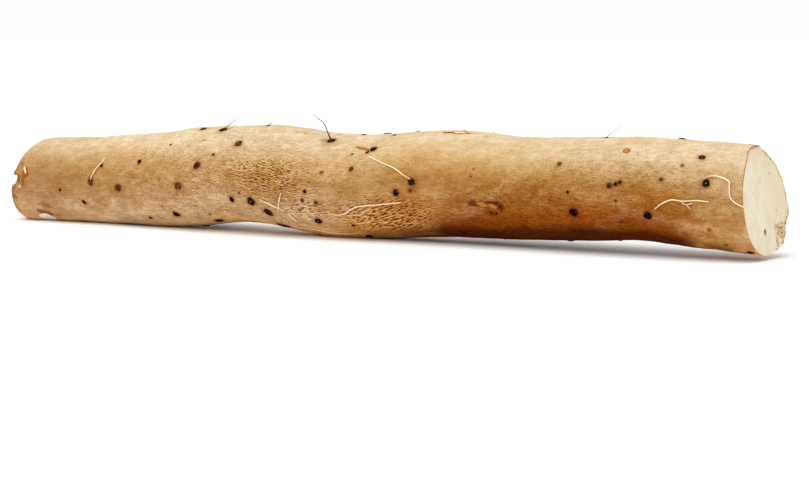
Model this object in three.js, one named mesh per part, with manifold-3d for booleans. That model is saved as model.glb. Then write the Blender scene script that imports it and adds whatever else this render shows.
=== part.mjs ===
// A cut length of Chinese yam (nagaimo) lying on its side. It is one grown tuber: a blunt natural tip at -X, a knife
// cut at +X, and a wavy body between them that touches the table at its tip end and under its middle.
// Millimetres, +Z up. The origin is on the table, under the middle of the tuber's bounding box.
import * as THREE from "three";
import Module from "manifold-3d";

const wasm = await Module();
wasm.setup();

// The body from the tip end to just past the cut. Each station is a section across X: its place along the tuber,
// how far its centre lies to the side and above the table, and half its width and height.
const STATIONS = [
  { x: -198, side: 2.0, height: 22.9, halfWidth: 24.2, halfHeight: 23.1 },
  { x: -165, side: 2.8, height: 23.1, halfWidth: 24.8, halfHeight: 23.8 },
  { x: -120, side: 2.2, height: 24.6, halfWidth: 26.6, halfHeight: 25.5 },
  { x: -95, side: 0.8, height: 27.0, halfWidth: 27.8, halfHeight: 26.3 },
  { x: -66, side: -1.4, height: 29.7, halfWidth: 27.4, halfHeight: 25.6 },
  { x: -42, side: -2.4, height: 29.3, halfWidth: 27.6, halfHeight: 26.2 },
  { x: -8, side: -1.8, height: 26.5, halfWidth: 28.4, halfHeight: 26.9 },
  { x: 18, side: -0.4, height: 26.7, halfWidth: 28.6, halfHeight: 26.7 },
  { x: 48, side: 1.6, height: 29.0, halfWidth: 28.4, halfHeight: 27.2 },
  { x: 70, side: 2.2, height: 29.8, halfWidth: 28.0, halfHeight: 26.7 },
  { x: 105, side: 1.2, height: 29.1, halfWidth: 26.8, halfHeight: 25.4 },
  { x: 150, side: -1.2, height: 30.7, halfWidth: 26.2, halfHeight: 25.0 },
  { x: 174, side: -1.8, height: 31.5, halfWidth: 25.8, halfHeight: 24.6 },
  { x: 200, side: -0.6, height: 29.2, halfWidth: 26.2, halfHeight: 25.2 },
  { x: 245, side: 2.0, height: 26.2, halfWidth: 26.4, halfHeight: 25.3 },
];
const RINGS_PER_STATION = 5;
const POINTS_AROUND = 56;

// The natural tip: a cap this long, a little blunter than half an ellipsoid, with its apex below the body's middle.
const CAP_LENGTH = 25;
const CAP_RINGS = 9;
const CAP_BLUNTNESS = 0.8;
const CAP_DROP = 7.5;

// The section wanders out of round by a low three-lobed wave that turns along the tuber.
const LOBES = 3;
const LOBE_SHARE = 0.03;
const LOBE_TURN_LENGTH = 395;

// The knife cut leans back at the top and crosses the tuber's middle here. On the far side the last of the flesh
// snapped instead of being cut, and left a low lip.
const CUT = { x: 229.6, height: 27.7, leanBackDeg: 6.3, swingDeg: 2.2 };
const LIP = { startsAtSide: 14, steepnessDeg: 3 };
const OFFCUT_SIZE = 120;

// The tip carries an old wound where a side root tore away.
const WOUND = { x: -217.5, side: -14.8, height: 23, length: 22, depth: 7.6, width: 6.4, turnDeg: 42 };
const WOUND_SEGMENTS = 16;

// The table flattens the lowest places by a fraction of a millimetre.
const TABLE_SIZE = 600;
const TABLE_THICKNESS = 20;

const SKIN = { color: 0xc99f68, roughness: 0.72, metalness: 0 };

// The centre and the half sizes run through the stations as two smooth curves that share their X.
function bodyCurves() {
  const centre = STATIONS.map((s) => new THREE.Vector3(s.x, s.side, s.height));
  const girth = STATIONS.map((s) => new THREE.Vector3(s.x, s.halfWidth, s.halfHeight));
  return [centre, girth].map((points) => new THREE.CatmullRomCurve3(points, false, "catmullrom", 0.5));
}

// Every ring as { x, side, height, halfWidth, halfHeight }, from the tip to past the cut.
function sectionRings() {
  const [centre, girth] = bodyCurves();
  const start = STATIONS[0];
  const rings = [];
  for (let i = 1; i < CAP_RINGS; i++) {
    const angle = ((i / CAP_RINGS) * Math.PI) / 2;
    const share = Math.sin(angle) ** CAP_BLUNTNESS;
    rings.push({
      ...start,
      x: start.x - CAP_LENGTH * Math.cos(angle),
      height: start.height - CAP_DROP * Math.cos(angle) ** 2,
      halfWidth: start.halfWidth * share,
      halfHeight: start.halfHeight * share,
    });
  }
  const steps = (STATIONS.length - 1) * RINGS_PER_STATION;
  for (let i = 0; i <= steps; i++) {
    const middle = centre.getPoint(i / steps);
    const half = girth.getPoint(i / steps);
    rings.push({ x: middle.x, side: middle.y, height: middle.z, halfWidth: half.y, halfHeight: half.z });
  }
  return rings;
}

// The closed surface of the uncut tuber: an apex, the rings, and a flat end past the cut.
function tuberGeometry() {
  const rings = sectionRings();
  const last = rings[rings.length - 1];
  const positions = [STATIONS[0].x - CAP_LENGTH, STATIONS[0].side, STATIONS[0].height - CAP_DROP];
  for (const ring of rings) {
    const lobePhase = ((ring.x - STATIONS[0].x) / LOBE_TURN_LENGTH) * 2 * Math.PI;
    for (let k = 0; k < POINTS_AROUND; k++) {
      const angle = (k / POINTS_AROUND) * 2 * Math.PI;
      const out = 1 + LOBE_SHARE * Math.cos(LOBES * angle + lobePhase);
      positions.push(
        ring.x,
        ring.side + ring.halfWidth * out * Math.cos(angle),
        ring.height + ring.halfHeight * out * Math.sin(angle),
      );
    }
  }
  positions.push(last.x, last.side, last.height);

  const endCentre = positions.length / 3 - 1;
  const at = (ring, k) => 1 + ring * POINTS_AROUND + (k % POINTS_AROUND);
  const index = [];
  for (let k = 0; k < POINTS_AROUND; k++) {
    index.push(0, at(0, k + 1), at(0, k));
    index.push(endCentre, at(rings.length - 1, k), at(rings.length - 1, k + 1));
    for (let r = 0; r < rings.length - 1; r++) {
      index.push(at(r, k), at(r, k + 1), at(r + 1, k));
      index.push(at(r + 1, k), at(r, k + 1), at(r + 1, k + 1));
    }
  }
  const geometry = new THREE.BufferGeometry();
  geometry.setAttribute("position", new THREE.Float32BufferAttribute(positions, 3));
  geometry.setIndex(index);
  return geometry;
}

// An indexed geometry with shared vertices as a solid, placed by an optional matrix.
function solidOf(geometry, matrix = new THREE.Matrix4()) {
  const placed = new THREE.BufferGeometry();
  placed.setAttribute("position", geometry.getAttribute("position").clone().applyMatrix4(matrix));
  return new wasm.Manifold(
    new wasm.Mesh({
      numProp: 3,
      vertProperties: Float32Array.from(placed.getAttribute("position").array),
      triVerts: Uint32Array.from(geometry.getIndex().array),
    }),
  );
}

// A box as an indexed geometry of eight shared corners, with its lowest X face on X = 0.
function blockGeometry(length, width, height) {
  const corners = [];
  for (const x of [0, length]) {
    for (const y of [-width / 2, width / 2]) {
      for (const z of [-height / 2, height / 2]) {
        corners.push(x, y, z);
      }
    }
  }
  const faces = [
    [0, 1, 3, 2], [4, 6, 7, 5], [0, 4, 5, 1], [2, 3, 7, 6], [0, 2, 6, 4], [1, 5, 7, 3],
  ];
  const geometry = new THREE.BufferGeometry();
  geometry.setAttribute("position", new THREE.Float32BufferAttribute(corners, 3));
  geometry.setIndex(faces.flatMap(([a, b, c, d]) => [a, b, c, a, c, d]));
  return geometry;
}

// What the knife and the snap take off: everything that is past both of their planes.
function offcut() {
  const block = blockGeometry(OFFCUT_SIZE, OFFCUT_SIZE, OFFCUT_SIZE);
  const radians = THREE.MathUtils.degToRad;
  const plane = (side, swingDeg) => {
    const turn = new THREE.Euler(0, -radians(CUT.leanBackDeg), radians(swingDeg), "ZYX");
    const matrix = new THREE.Matrix4().makeRotationFromEuler(turn);
    return matrix.setPosition(CUT.x, side, CUT.height);
  };
  const knife = solidOf(block, plane(0, CUT.swingDeg));
  const snap = solidOf(block, plane(LIP.startsAtSide, -LIP.steepnessDeg));
  return knife.intersect(snap);
}

// The wound's hollow, a flattened ellipsoid laid across the tip.
function woundHollow() {
  const rows = WOUND_SEGMENTS / 2;
  const positions = [0, 0, 1];
  for (let i = 1; i < rows; i++) {
    const tilt = (i / rows) * Math.PI;
    for (let k = 0; k < WOUND_SEGMENTS; k++) {
      const turn = (k / WOUND_SEGMENTS) * 2 * Math.PI;
      positions.push(Math.sin(tilt) * Math.cos(turn), Math.sin(tilt) * Math.sin(turn), Math.cos(tilt));
    }
  }
  positions.push(0, 0, -1);
  const bottom = positions.length / 3 - 1;
  const at = (row, k) => 1 + row * WOUND_SEGMENTS + (k % WOUND_SEGMENTS);
  const index = [];
  for (let k = 0; k < WOUND_SEGMENTS; k++) {
    index.push(0, at(0, k), at(0, k + 1));
    index.push(bottom, at(rows - 2, k + 1), at(rows - 2, k));
    for (let r = 0; r < rows - 2; r++) {
      index.push(at(r, k), at(r + 1, k), at(r, k + 1));
      index.push(at(r + 1, k), at(r + 1, k + 1), at(r, k + 1));
    }
  }
  const geometry = new THREE.BufferGeometry();
  geometry.setAttribute("position", new THREE.Float32BufferAttribute(positions, 3));
  geometry.setIndex(index);
  const matrix = new THREE.Matrix4()
    .makeRotationZ(THREE.MathUtils.degToRad(WOUND.turnDeg))
    .scale(new THREE.Vector3(WOUND.depth / 2, WOUND.length / 2, WOUND.width / 2))
    .setPosition(WOUND.x, WOUND.side, WOUND.height);
  return solidOf(geometry, matrix);
}

function table() {
  const block = blockGeometry(TABLE_SIZE, TABLE_SIZE, TABLE_THICKNESS);
  const matrix = new THREE.Matrix4().setPosition(-TABLE_SIZE / 2, 0, -TABLE_THICKNESS / 2);
  return solidOf(block, matrix);
}

// A solid's surface as a three.js geometry.
function geometryOf(solid) {
  const mesh = solid.getMesh();
  const geometry = new THREE.BufferGeometry();
  geometry.setAttribute("position", new THREE.Float32BufferAttribute(mesh.vertProperties, mesh.numProp));
  geometry.setIndex(new THREE.Uint32BufferAttribute(mesh.triVerts, 1));
  geometry.computeVertexNormals();
  return geometry;
}

function makeTuber() {
  const solid = solidOf(tuberGeometry()).subtract(offcut()).subtract(woundHollow()).subtract(table());
  const tuber = new THREE.Mesh(geometryOf(solid), new THREE.MeshStandardMaterial(SKIN));
  tuber.name = "tuber";
  return tuber;
}

const tuber = makeTuber();
const box = new THREE.Box3().setFromBufferAttribute(tuber.geometry.getAttribute("position"));
const middle = box.getCenter(new THREE.Vector3());
tuber.position.set(-middle.x, -middle.y, -box.min.z);

const yam = new THREE.Group();
yam.add(tuber);

export default yam;
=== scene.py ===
"""Looks of a cut length of Chinese yam: its skin, root scars, rootlets, loose flakes and cut flesh.

Lengths are in millimetres in the row's frame: +X towards the cut end, +Z up, the table at z = 0. A place on
the skin is its x and its turn, in degrees up from level on the front (-Y) side: 90 is the top, -90 the
underside and 180 the back.
"""

import itertools
import logging
import math
import random
from collections.abc import Iterable, Sequence
from dataclasses import dataclass, field
from enum import Enum
from typing import Any, TypeAlias

import bpy
import numpy as np
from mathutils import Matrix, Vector
from mathutils.bvhtree import BVHTree


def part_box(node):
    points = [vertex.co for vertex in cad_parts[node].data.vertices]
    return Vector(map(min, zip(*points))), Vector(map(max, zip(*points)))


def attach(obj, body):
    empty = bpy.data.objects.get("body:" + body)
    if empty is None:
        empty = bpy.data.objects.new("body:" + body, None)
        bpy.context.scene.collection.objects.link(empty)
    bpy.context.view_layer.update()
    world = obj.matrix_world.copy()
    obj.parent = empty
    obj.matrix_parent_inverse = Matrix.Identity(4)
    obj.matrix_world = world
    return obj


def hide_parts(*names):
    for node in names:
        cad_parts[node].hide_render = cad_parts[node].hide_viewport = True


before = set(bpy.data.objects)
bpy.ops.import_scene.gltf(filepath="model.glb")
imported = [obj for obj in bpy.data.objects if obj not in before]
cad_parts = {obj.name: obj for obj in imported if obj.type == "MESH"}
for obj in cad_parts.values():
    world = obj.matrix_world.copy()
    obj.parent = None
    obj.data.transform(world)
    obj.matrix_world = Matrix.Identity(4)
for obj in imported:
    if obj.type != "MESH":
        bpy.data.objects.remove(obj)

LOG = logging.getLogger("yam")
MM = 0.001
BODY = "root"
CAD_NODE = "tuber"
# The tuber's usual radius, which makes a length of a turn.
SKIN_RADIUS = 26.0

Colour = tuple[float, float, float]
Triple = tuple[float, float, float]
Pair = tuple[float, float]
Face = tuple[int, ...]
Amount: TypeAlias = "Signal | float"


def srgb(red: float, green: float, blue: float) -> Colour:
    """Turns a screen colour, each part from 0 to 255, into the linear colour that shaders mix."""
    parts = (value / 255 for value in (red, green, blue))
    return tuple(part / 12.92 if part <= 0.04045 else ((part + 0.055) / 1.055) ** 2.4 for part in parts)


# ----- Shader graphs -----


class Signal:
    """An output of a shader graph. Arithmetic on it adds Math nodes to the graph."""

    def __init__(self, graph: "Graph", socket: bpy.types.NodeSocket | None) -> None:
        """Wraps an output socket of a graph."""
        self.graph = graph
        self.socket = socket

    def _math(self, operation: str, *values: Amount) -> "Signal":
        """Adds one Math node."""
        return self.graph.add("ShaderNodeMath", {"operation": operation}, dict(enumerate(values)))

    def __add__(self, other: Amount) -> "Signal":
        """This plus other."""
        return self._math("ADD", self, other)

    def __sub__(self, other: Amount) -> "Signal":
        """This minus other."""
        return self._math("SUBTRACT", self, other)

    def __rsub__(self, other: Amount) -> "Signal":
        """Other minus this."""
        return self._math("SUBTRACT", other, self)

    def __mul__(self, other: Amount) -> "Signal":
        """This times other."""
        return self._math("MULTIPLY", self, other)

    __radd__ = __add__
    __rmul__ = __mul__

    def sine(self) -> "Signal":
        """The sine of this, taken as radians."""
        return self._math("SINE", self)

    def turn_from(self, other: "Signal") -> "Signal":
        """The angle in radians whose tangent is this over other."""
        return self._math("ARCTAN2", self, other)

    def larger(self, other: Amount) -> "Signal":
        """The larger of this and other."""
        return self._math("MAXIMUM", self, other)

    def centred(self, size: float) -> "Signal":
        """Turns a pattern from 0 to 1 into one of this size that is 0 in its middle."""
        return (self - 0.5) * size

    def calmed(self, share: Amount) -> "Signal":
        """Draws a pattern from 0 to 1 in towards its middle, to a share of its strength."""
        return 0.5 + (self - 0.5) * share

    def step(self, low: float, high: float) -> "Signal":
        """A smooth step from 0 where this is low to 1 where it is high."""
        inputs = {"Value": self, "From Min": low, "From Max": high}
        return self.graph.add("ShaderNodeMapRange", {"interpolation_type": "SMOOTHSTEP"}, inputs)


class Graph:
    """The shader graph of one new material. Its place is the point in the row's frame, in metres."""

    MIX_UNDER = 6
    MIX_OVER = 7
    MIX_RESULT = 2

    def __init__(self, name: str) -> None:
        """Starts a material with an empty graph.

        Args:
            name: The material's name.
        """
        self.material = bpy.data.materials.new(name)
        self.material.use_nodes = True
        self.tree = self.material.node_tree
        self.tree.nodes.clear()
        self.place = self.add("ShaderNodeTexCoord", output="Object")

    def add(
        self,
        kind: str,
        settings: dict[str, Any] | None = None,
        inputs: dict[str | int, Any] | None = None,
        output: str | int = 0,
    ) -> Signal:
        """Adds a node.

        Args:
            kind: The node's type.
            settings: Its own properties, set first. "stops" is a ramp's (share, colour) pairs, in order.
            inputs: A value or a Signal for each socket that isn't left alone.
            output: Which output to return.

        Returns:
            That output, or an empty Signal where the node has none.
        """
        node = self.tree.nodes.new(kind)
        for name, value in (settings or {}).items():
            if name == "stops":
                self._set_stops(node.color_ramp, value)
            else:
                setattr(node, name, value)
        for key, value in (inputs or {}).items():
            if isinstance(value, Signal):
                self.tree.links.new(value.socket, node.inputs[key])
            else:
                node.inputs[key].default_value = value
        return Signal(self, node.outputs[output] if len(node.outputs) else None)

    @staticmethod
    def _set_stops(ramp: bpy.types.ColorRamp, stops: Sequence[tuple[float, Colour]]) -> None:
        """Gives a new colour ramp its stops.

        Args:
            ramp: The ramp, which starts with two stops.
            stops: The (share, colour) pairs, in order.
        """
        ramp.elements[0].position = stops[0][0]
        ramp.elements[1].position = stops[-1][0]
        for share, _ in stops[1:-1]:
            ramp.elements.new(share)
        for element, (_, colour) in zip(ramp.elements, stops):
            element.color = (*colour, 1)

    def parts(self) -> tuple[Signal, ...]:
        """The place's x, y and z."""
        split = self.add("ShaderNodeSeparateXYZ", inputs={0: self.place})
        return tuple(Signal(self, output) for output in split.socket.node.outputs)

    def stored(self, name: str) -> Signal:
        """A number stored on the mesh's points."""
        return self.add("ShaderNodeAttribute", {"attribute_name": name}, output="Fac")

    def sized(self, size: Triple, shift: float = 0.0) -> Signal:
        """The place in units of a size in millimetres, shifted so that patterns of one size can differ."""
        inputs = {0: self.place, 1: tuple(1 / (part * MM) for part in size), 2: (shift, shift, shift)}
        return self.add("ShaderNodeVectorMath", {"operation": "MULTIPLY_ADD"}, inputs)

    def noise(
        self, size: Triple, shift: float = 0.0, detail: float = 2.0, rough: float = 0.5, twist: float = 0.0
    ) -> Signal:
        """Noise from 0 to 1.

        Args:
            size: Its size along x, y and z.
            shift: Moves it away from other noise of its size.
            detail: How many finer layers it has.
            rough: How strong each layer is beside the last.
            twist: How far it is distorted.

        Returns:
            The noise.
        """
        place = self.sized(size, shift)
        inputs = {"Vector": place, "Scale": 1.0, "Detail": detail, "Roughness": rough, "Distortion": twist}
        return self.add("ShaderNodeTexNoise", inputs=inputs)

    def cells(self, place: Signal, jitter: float = 1.0, dimensions: str = "3D") -> Signal:
        """Distance to the nearest point of a scattered set, at a sized place."""
        inputs = {"Vector": place, "Randomness": jitter, "Scale": 1.0}
        return self.add("ShaderNodeTexVoronoi", {"voronoi_dimensions": dimensions}, inputs)

    def ramp(self, share: Signal, stops: Sequence[tuple[float, Colour]]) -> Signal:
        """Looks up a colour among stops, given as (share, colour) in order."""
        return self.add("ShaderNodeValToRGB", {"stops": stops}, {0: share})

    def blend(self, share: Amount, under: Any, over: Any, how: str = "MIX") -> Signal:
        """Blends two colours.

        Args:
            share: How much of the upper colour shows.
            under: A colour or a Signal.
            over: A colour or a Signal.
            how: The blend's type.

        Returns:
            The blended colour.
        """
        inputs = {0: share}
        for key, colour in ((self.MIX_UNDER, under), (self.MIX_OVER, over)):
            inputs[key] = (*colour, 1) if isinstance(colour, tuple) else colour
        return self.add("ShaderNodeMix", {"data_type": "RGBA", "blend_type": how}, inputs, self.MIX_RESULT)

    def tint(self, share: Amount, colour: Signal, dark: Colour, light: Colour = (1, 1, 1)) -> Signal:
        """Multiplies a colour's parts.

        Args:
            share: From 0 for light to 1 for dark.
            colour: The colour.
            dark: The factors where share is 1.
            light: The factors where share is 0.

        Returns:
            The tinted colour.
        """
        return self.blend(1.0, colour, self.blend(share, light, dark), "MULTIPLY")

    def finish(self, inputs: dict[str, Any], height: Signal | None = None) -> bpy.types.Material:
        """Closes the graph with a Principled shader.

        Args:
            inputs: The shader's sockets.
            height: Relief in millimetres, or None.

        Returns:
            The material.
        """
        if height is not None:
            inputs["Normal"] = self.add("ShaderNodeBump", inputs={"Height": height, "Distance": MM})
        shader = self.add("ShaderNodeBsdfPrincipled", inputs=inputs)
        self.add("ShaderNodeOutputMaterial", inputs={"Surface": shader})
        return self.material


# ----- Finishes -----


# The skin's tan and golden colours, by how far up the tuber they are: 0 is the underside and 1 the top.
# They hold painted light: the paler top is partly dry skin and partly a painted sheen, the pale tan foot is
# painted bounce light, and the near-black golden foot is painted shade.
COLOURS_AND_PAINTED_LIGHT_BY_RISE = (
    (0.04, srgb(240, 192, 136), srgb(90, 32, 0)),
    (0.09, srgb(198, 159, 112), srgb(85, 34, 1)),
    (0.16, srgb(197, 163, 122), srgb(132, 70, 6)),
    (0.26, srgb(188, 152, 111), srgb(143, 72, 14)),
    (0.35, srgb(171, 133, 90), srgb(148, 89, 30)),
    (0.45, srgb(169, 131, 84), srgb(149, 96, 40)),
    (0.55, srgb(165, 127, 81), srgb(150, 101, 43)),
    (0.65, srgb(171, 136, 93), srgb(162, 123, 68)),
    (0.76, srgb(180, 151, 112), srgb(176, 145, 101)),
    (0.85, srgb(188, 166, 132), srgb(188, 165, 129)),
    (1.00, srgb(192, 172, 139), srgb(192, 172, 139)),
)


@dataclass(frozen=True)
class SkinFinish:
    """Thin corky skin: tan or golden brown, paler on top (partly a painted sheen), with a net of creases in
    some places that carry painted shade and painted highlights.

    The tints are factors for red, green and blue. A pair is for the dark and the light end of a pattern.
    """

    pale: Colour = srgb(208, 186, 150)
    torn: Colour = srgb(74, 38, 18)
    cork: Colour = srgb(142, 80, 24)
    flesh: Colour = srgb(250, 246, 236)
    grain_tints: tuple[Colour, Colour] = ((0.85, 0.79, 0.72), (1.13, 1.19, 1.26))
    blotch_tints: tuple[Colour, Colour] = ((0.93, 0.88, 0.80), (1.06, 1.10, 1.17))
    fleck_tints: tuple[Colour, Colour] = ((0.94, 0.89, 0.82), (1.05, 1.09, 1.14))
    sallow_tint: Colour = (0.96, 0.90, 0.76)
    # Painted orange bounce light and shade on the underside.
    painted_amber_bounce_tint: Colour = (0.98, 0.76, 0.42)
    stroke_tint: Colour = (0.68, 0.54, 0.38)
    dot_tint: Colour = (0.66, 0.48, 0.32)
    net_tint: Colour = (1.06, 1.04, 0.98)
    painted_ridge_highlight_tint: Colour = (1.46, 1.74, 2.40)
    crease_and_painted_shade_tint: Colour = (0.36, 0.16, 0.03)
    stain_and_painted_shade_tint: Colour = (0.62, 0.34, 0.14)
    deep_stain_tint: Colour = (0.40, 0.36, 0.40)
    husk_and_painted_shadow_tint: Colour = (0.52, 0.38, 0.24)
    roughness: float = 0.62
    specular: float = 0.02
    axis_height: float = 28.0
    girth: float = 28.0
    sway: float = 6.0
    sway_length: float = 30.0
    dash_length: float = 3.9
    dash_height: float = 0.98
    dash_jitter: float = 0.65
    ridge_shift: float = 0.42
    spread: float = 0.0100

    def material(self) -> bpy.types.Material:
        """Builds the material.

        Returns:
            The material.
        """
        g = Graph("skin")
        colour = self._ground(g)
        coarse = g.stored("coarse")
        grain = g.noise((0.9, 0.6, 0.6), 2.0, 2.0, 0.6)
        fibre = g.noise((3.6, 0.9, 0.8), 1.0, 3.0, 0.6)
        fine = g.noise((4.2, 2.0, 1.8), 8.0, 4.0, 0.65)
        for pattern, share in ((grain, coarse), (fibre, coarse * 0.85), (fine, 0.3)):
            colour = g.tint(pattern.step(0.36, 0.64).calmed(share), colour, *self.grain_tints)
        strokes = g.noise((2.2, 0.8, 0.7), 3.0, 2.0, 0.6).step(0.56, 0.72) * coarse
        colour = g.tint(strokes, colour, self.stroke_tint)
        netted, ridge, crease = self._net(g)
        dots = 1 - g.cells(g.sized((2.9, 2.3, 2.3))).step(0.08, 0.2)
        dots = dots * g.noise((20, 14, 14), 2.0).step(0.45, 0.65) * (1 - netted)
        colour = g.tint(dots, colour, self.dot_tint)
        colour = g.tint(netted, colour, self.net_tint)
        # Painted highlight on each ridge, and dark creases that are partly crack colour and partly painted
        # shade.
        colour = g.tint(ridge, colour, self.painted_ridge_highlight_tint)
        colour = g.tint(crease, colour, self.crease_and_painted_shade_tint)
        # Pale patches of skin, and painted light that lifts the shade along the left part's underside.
        bleach_and_painted_light = (g.stored("bleach_and_painted_light") + g.noise((4, 3, 3), 5.5).centred(0.8)).step(0.1, 1.2)
        colour = g.blend(bleach_and_painted_light * 0.7, colour, self.pale)
        edges = g.noise((1.6, 1.2, 1.2), 5.0, 3.0, 0.6)
        # Brown cork at peels and torn edges; above the raw chip at the tip it is partly painted shadow of
        # the step.
        cork = (g.stored("cork") + edges * 0.6).step(0.52, 0.94)
        colour = g.blend(cork * 0.85, colour, self.cork)
        # Brown stains round scars and elsewhere, and painted shade that darkens the tip end and a strip low
        # on the front.
        stain = g.stored("stain")
        colour = g.tint(stain, colour, self.stain_and_painted_shade_tint)
        colour = g.tint(stain * stain, colour, self.deep_stain_tint)
        torn = (g.stored("torn") + edges * 0.6).step(0.66, 0.92)
        colour = g.blend(torn * 0.9, colour, self.torn)
        raw = (g.stored("raw") + edges * 0.35).step(0.62, 0.74)
        colour = g.blend(raw, colour, self.flesh)
        # A brown band at the skin's edge by the upper rim: partly the skin's torn edge, partly painted
        # shadow under its lip.
        colour = g.tint(g.stored("husk_and_painted_shadow").step(0.2, 0.9), colour, self.husk_and_painted_shadow_tint)
        wrinkle = g.noise((2.6, 1.2, 1.1), 4.0, 3.0, 0.55, 0.6)
        height = (fibre * 0.10 + grain * 0.16 + wrinkle * 0.30) * coarse - crease * 0.10 - dots * 0.05
        rough = self.roughness + grain.centred(0.16) + crease * 0.1
        inputs = {"Base Color": colour, "Roughness": rough, "Specular IOR Level": self.specular}
        return g.finish(inputs, height)

    def _ground(self, g: Graph) -> Signal:
        """Paints the skin's broad colours, by height and zone, with brown mottling. The colours by height
        hold a painted sheen, painted bounce light and painted shade.

        Args:
            g: The graph.

        Returns:
            The colour.
        """
        cloud = g.noise((46, 22, 22), 6.0, 3.0, 0.55)
        mottle = g.noise((14, 8, 8), 0.0, 4.0, 0.6)
        speckle = g.noise((7.0, 4.0, 4.0), 12.0, 3.0, 0.6, 0.5)
        rise = g.stored("rise") + mottle.centred(0.12) + cloud.centred(0.14)
        # Painted light by height: a sheen on top, bounce light at the tan foot, shade at the golden foot.
        tan, golden = (g.ramp(rise, [(row[0], row[k]) for row in COLOURS_AND_PAINTED_LIGHT_BY_RISE]) for k in (1, 2))
        # Golden skin; low on the tuber the golden ramp's dark foot turns it into painted shade.
        gold = (g.stored("gold") + mottle.centred(0.6) + cloud.centred(0.4)).step(0.0, 0.9)
        colour = g.blend(gold, tan, golden)
        sallow = (g.stored("sallow") + mottle.centred(0.8) + cloud.centred(0.8)).step(0.2, 0.9)
        colour = g.tint(sallow, colour, self.sallow_tint)
        # Painted orange bounce light and shade, mostly on the underside, which darkens and warms the skin
        # there.
        painted_amber_bounce = (g.stored("painted_amber_bounce") + mottle.centred(0.4)).step(0.0, 0.9)
        colour = g.tint(painted_amber_bounce, colour, self.painted_amber_bounce_tint)
        calm = 1 - 0.35 * g.stored("rise").step(0.6, 0.8)
        colour = g.tint(mottle.step(0.38, 0.62).calmed(calm), colour, *self.blotch_tints)
        return g.tint(speckle.step(0.38, 0.62).calmed(calm), colour, *self.fleck_tints)

    def _net(self, g: Graph) -> tuple[Signal, Signal, Signal]:
        """Lays rows of short creases along the tuber, each with a ridge beside it; the ridge gets a painted
        highlight and the crease painted shade.

        Args:
            g: The graph.

        Returns:
            How netted the skin is, its ridges, which carry a painted highlight, and its creases, which are
            partly crack colour and partly painted shade.
        """
        x, y, z = g.parts()
        wobble = g.noise((7, 4, 4), 7.0)
        around = (z - self.axis_height * MM).turn_from(y * -1) * self.girth
        sway = (x * (1 / (self.sway_length * MM)) + math.pi / 2).sine() * self.sway
        along = x * (1 / (self.dash_length * MM)) + wobble * 1.5
        rows = 1 / self.dash_height
        row = around * (around * self.spread + rows) + sway * rows + wobble * 1.8
        where = g.stored("net") + wobble.centred(0.5)
        strong = g.noise((3.5, 1.4, 1.4), 13.0, 1.0).step(0.25, 0.6)
        reach = where * 0.13
        lines = []
        for shift in (0.0, self.ridge_shift):
            flat = g.add("ShaderNodeCombineXYZ", inputs={0: along, 1: row + shift, 2: 0.0})
            lines.append(1 - (g.cells(flat, self.dash_jitter, "2D") - reach).step(0.07, 0.25))
        here = (where * 0.8).step(0.0, 1.1) * (0.6 + 0.4 * strong)
        return where.step(0.2, 0.9), lines[1] * here * (1 - lines[0]), lines[0] * here


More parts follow.
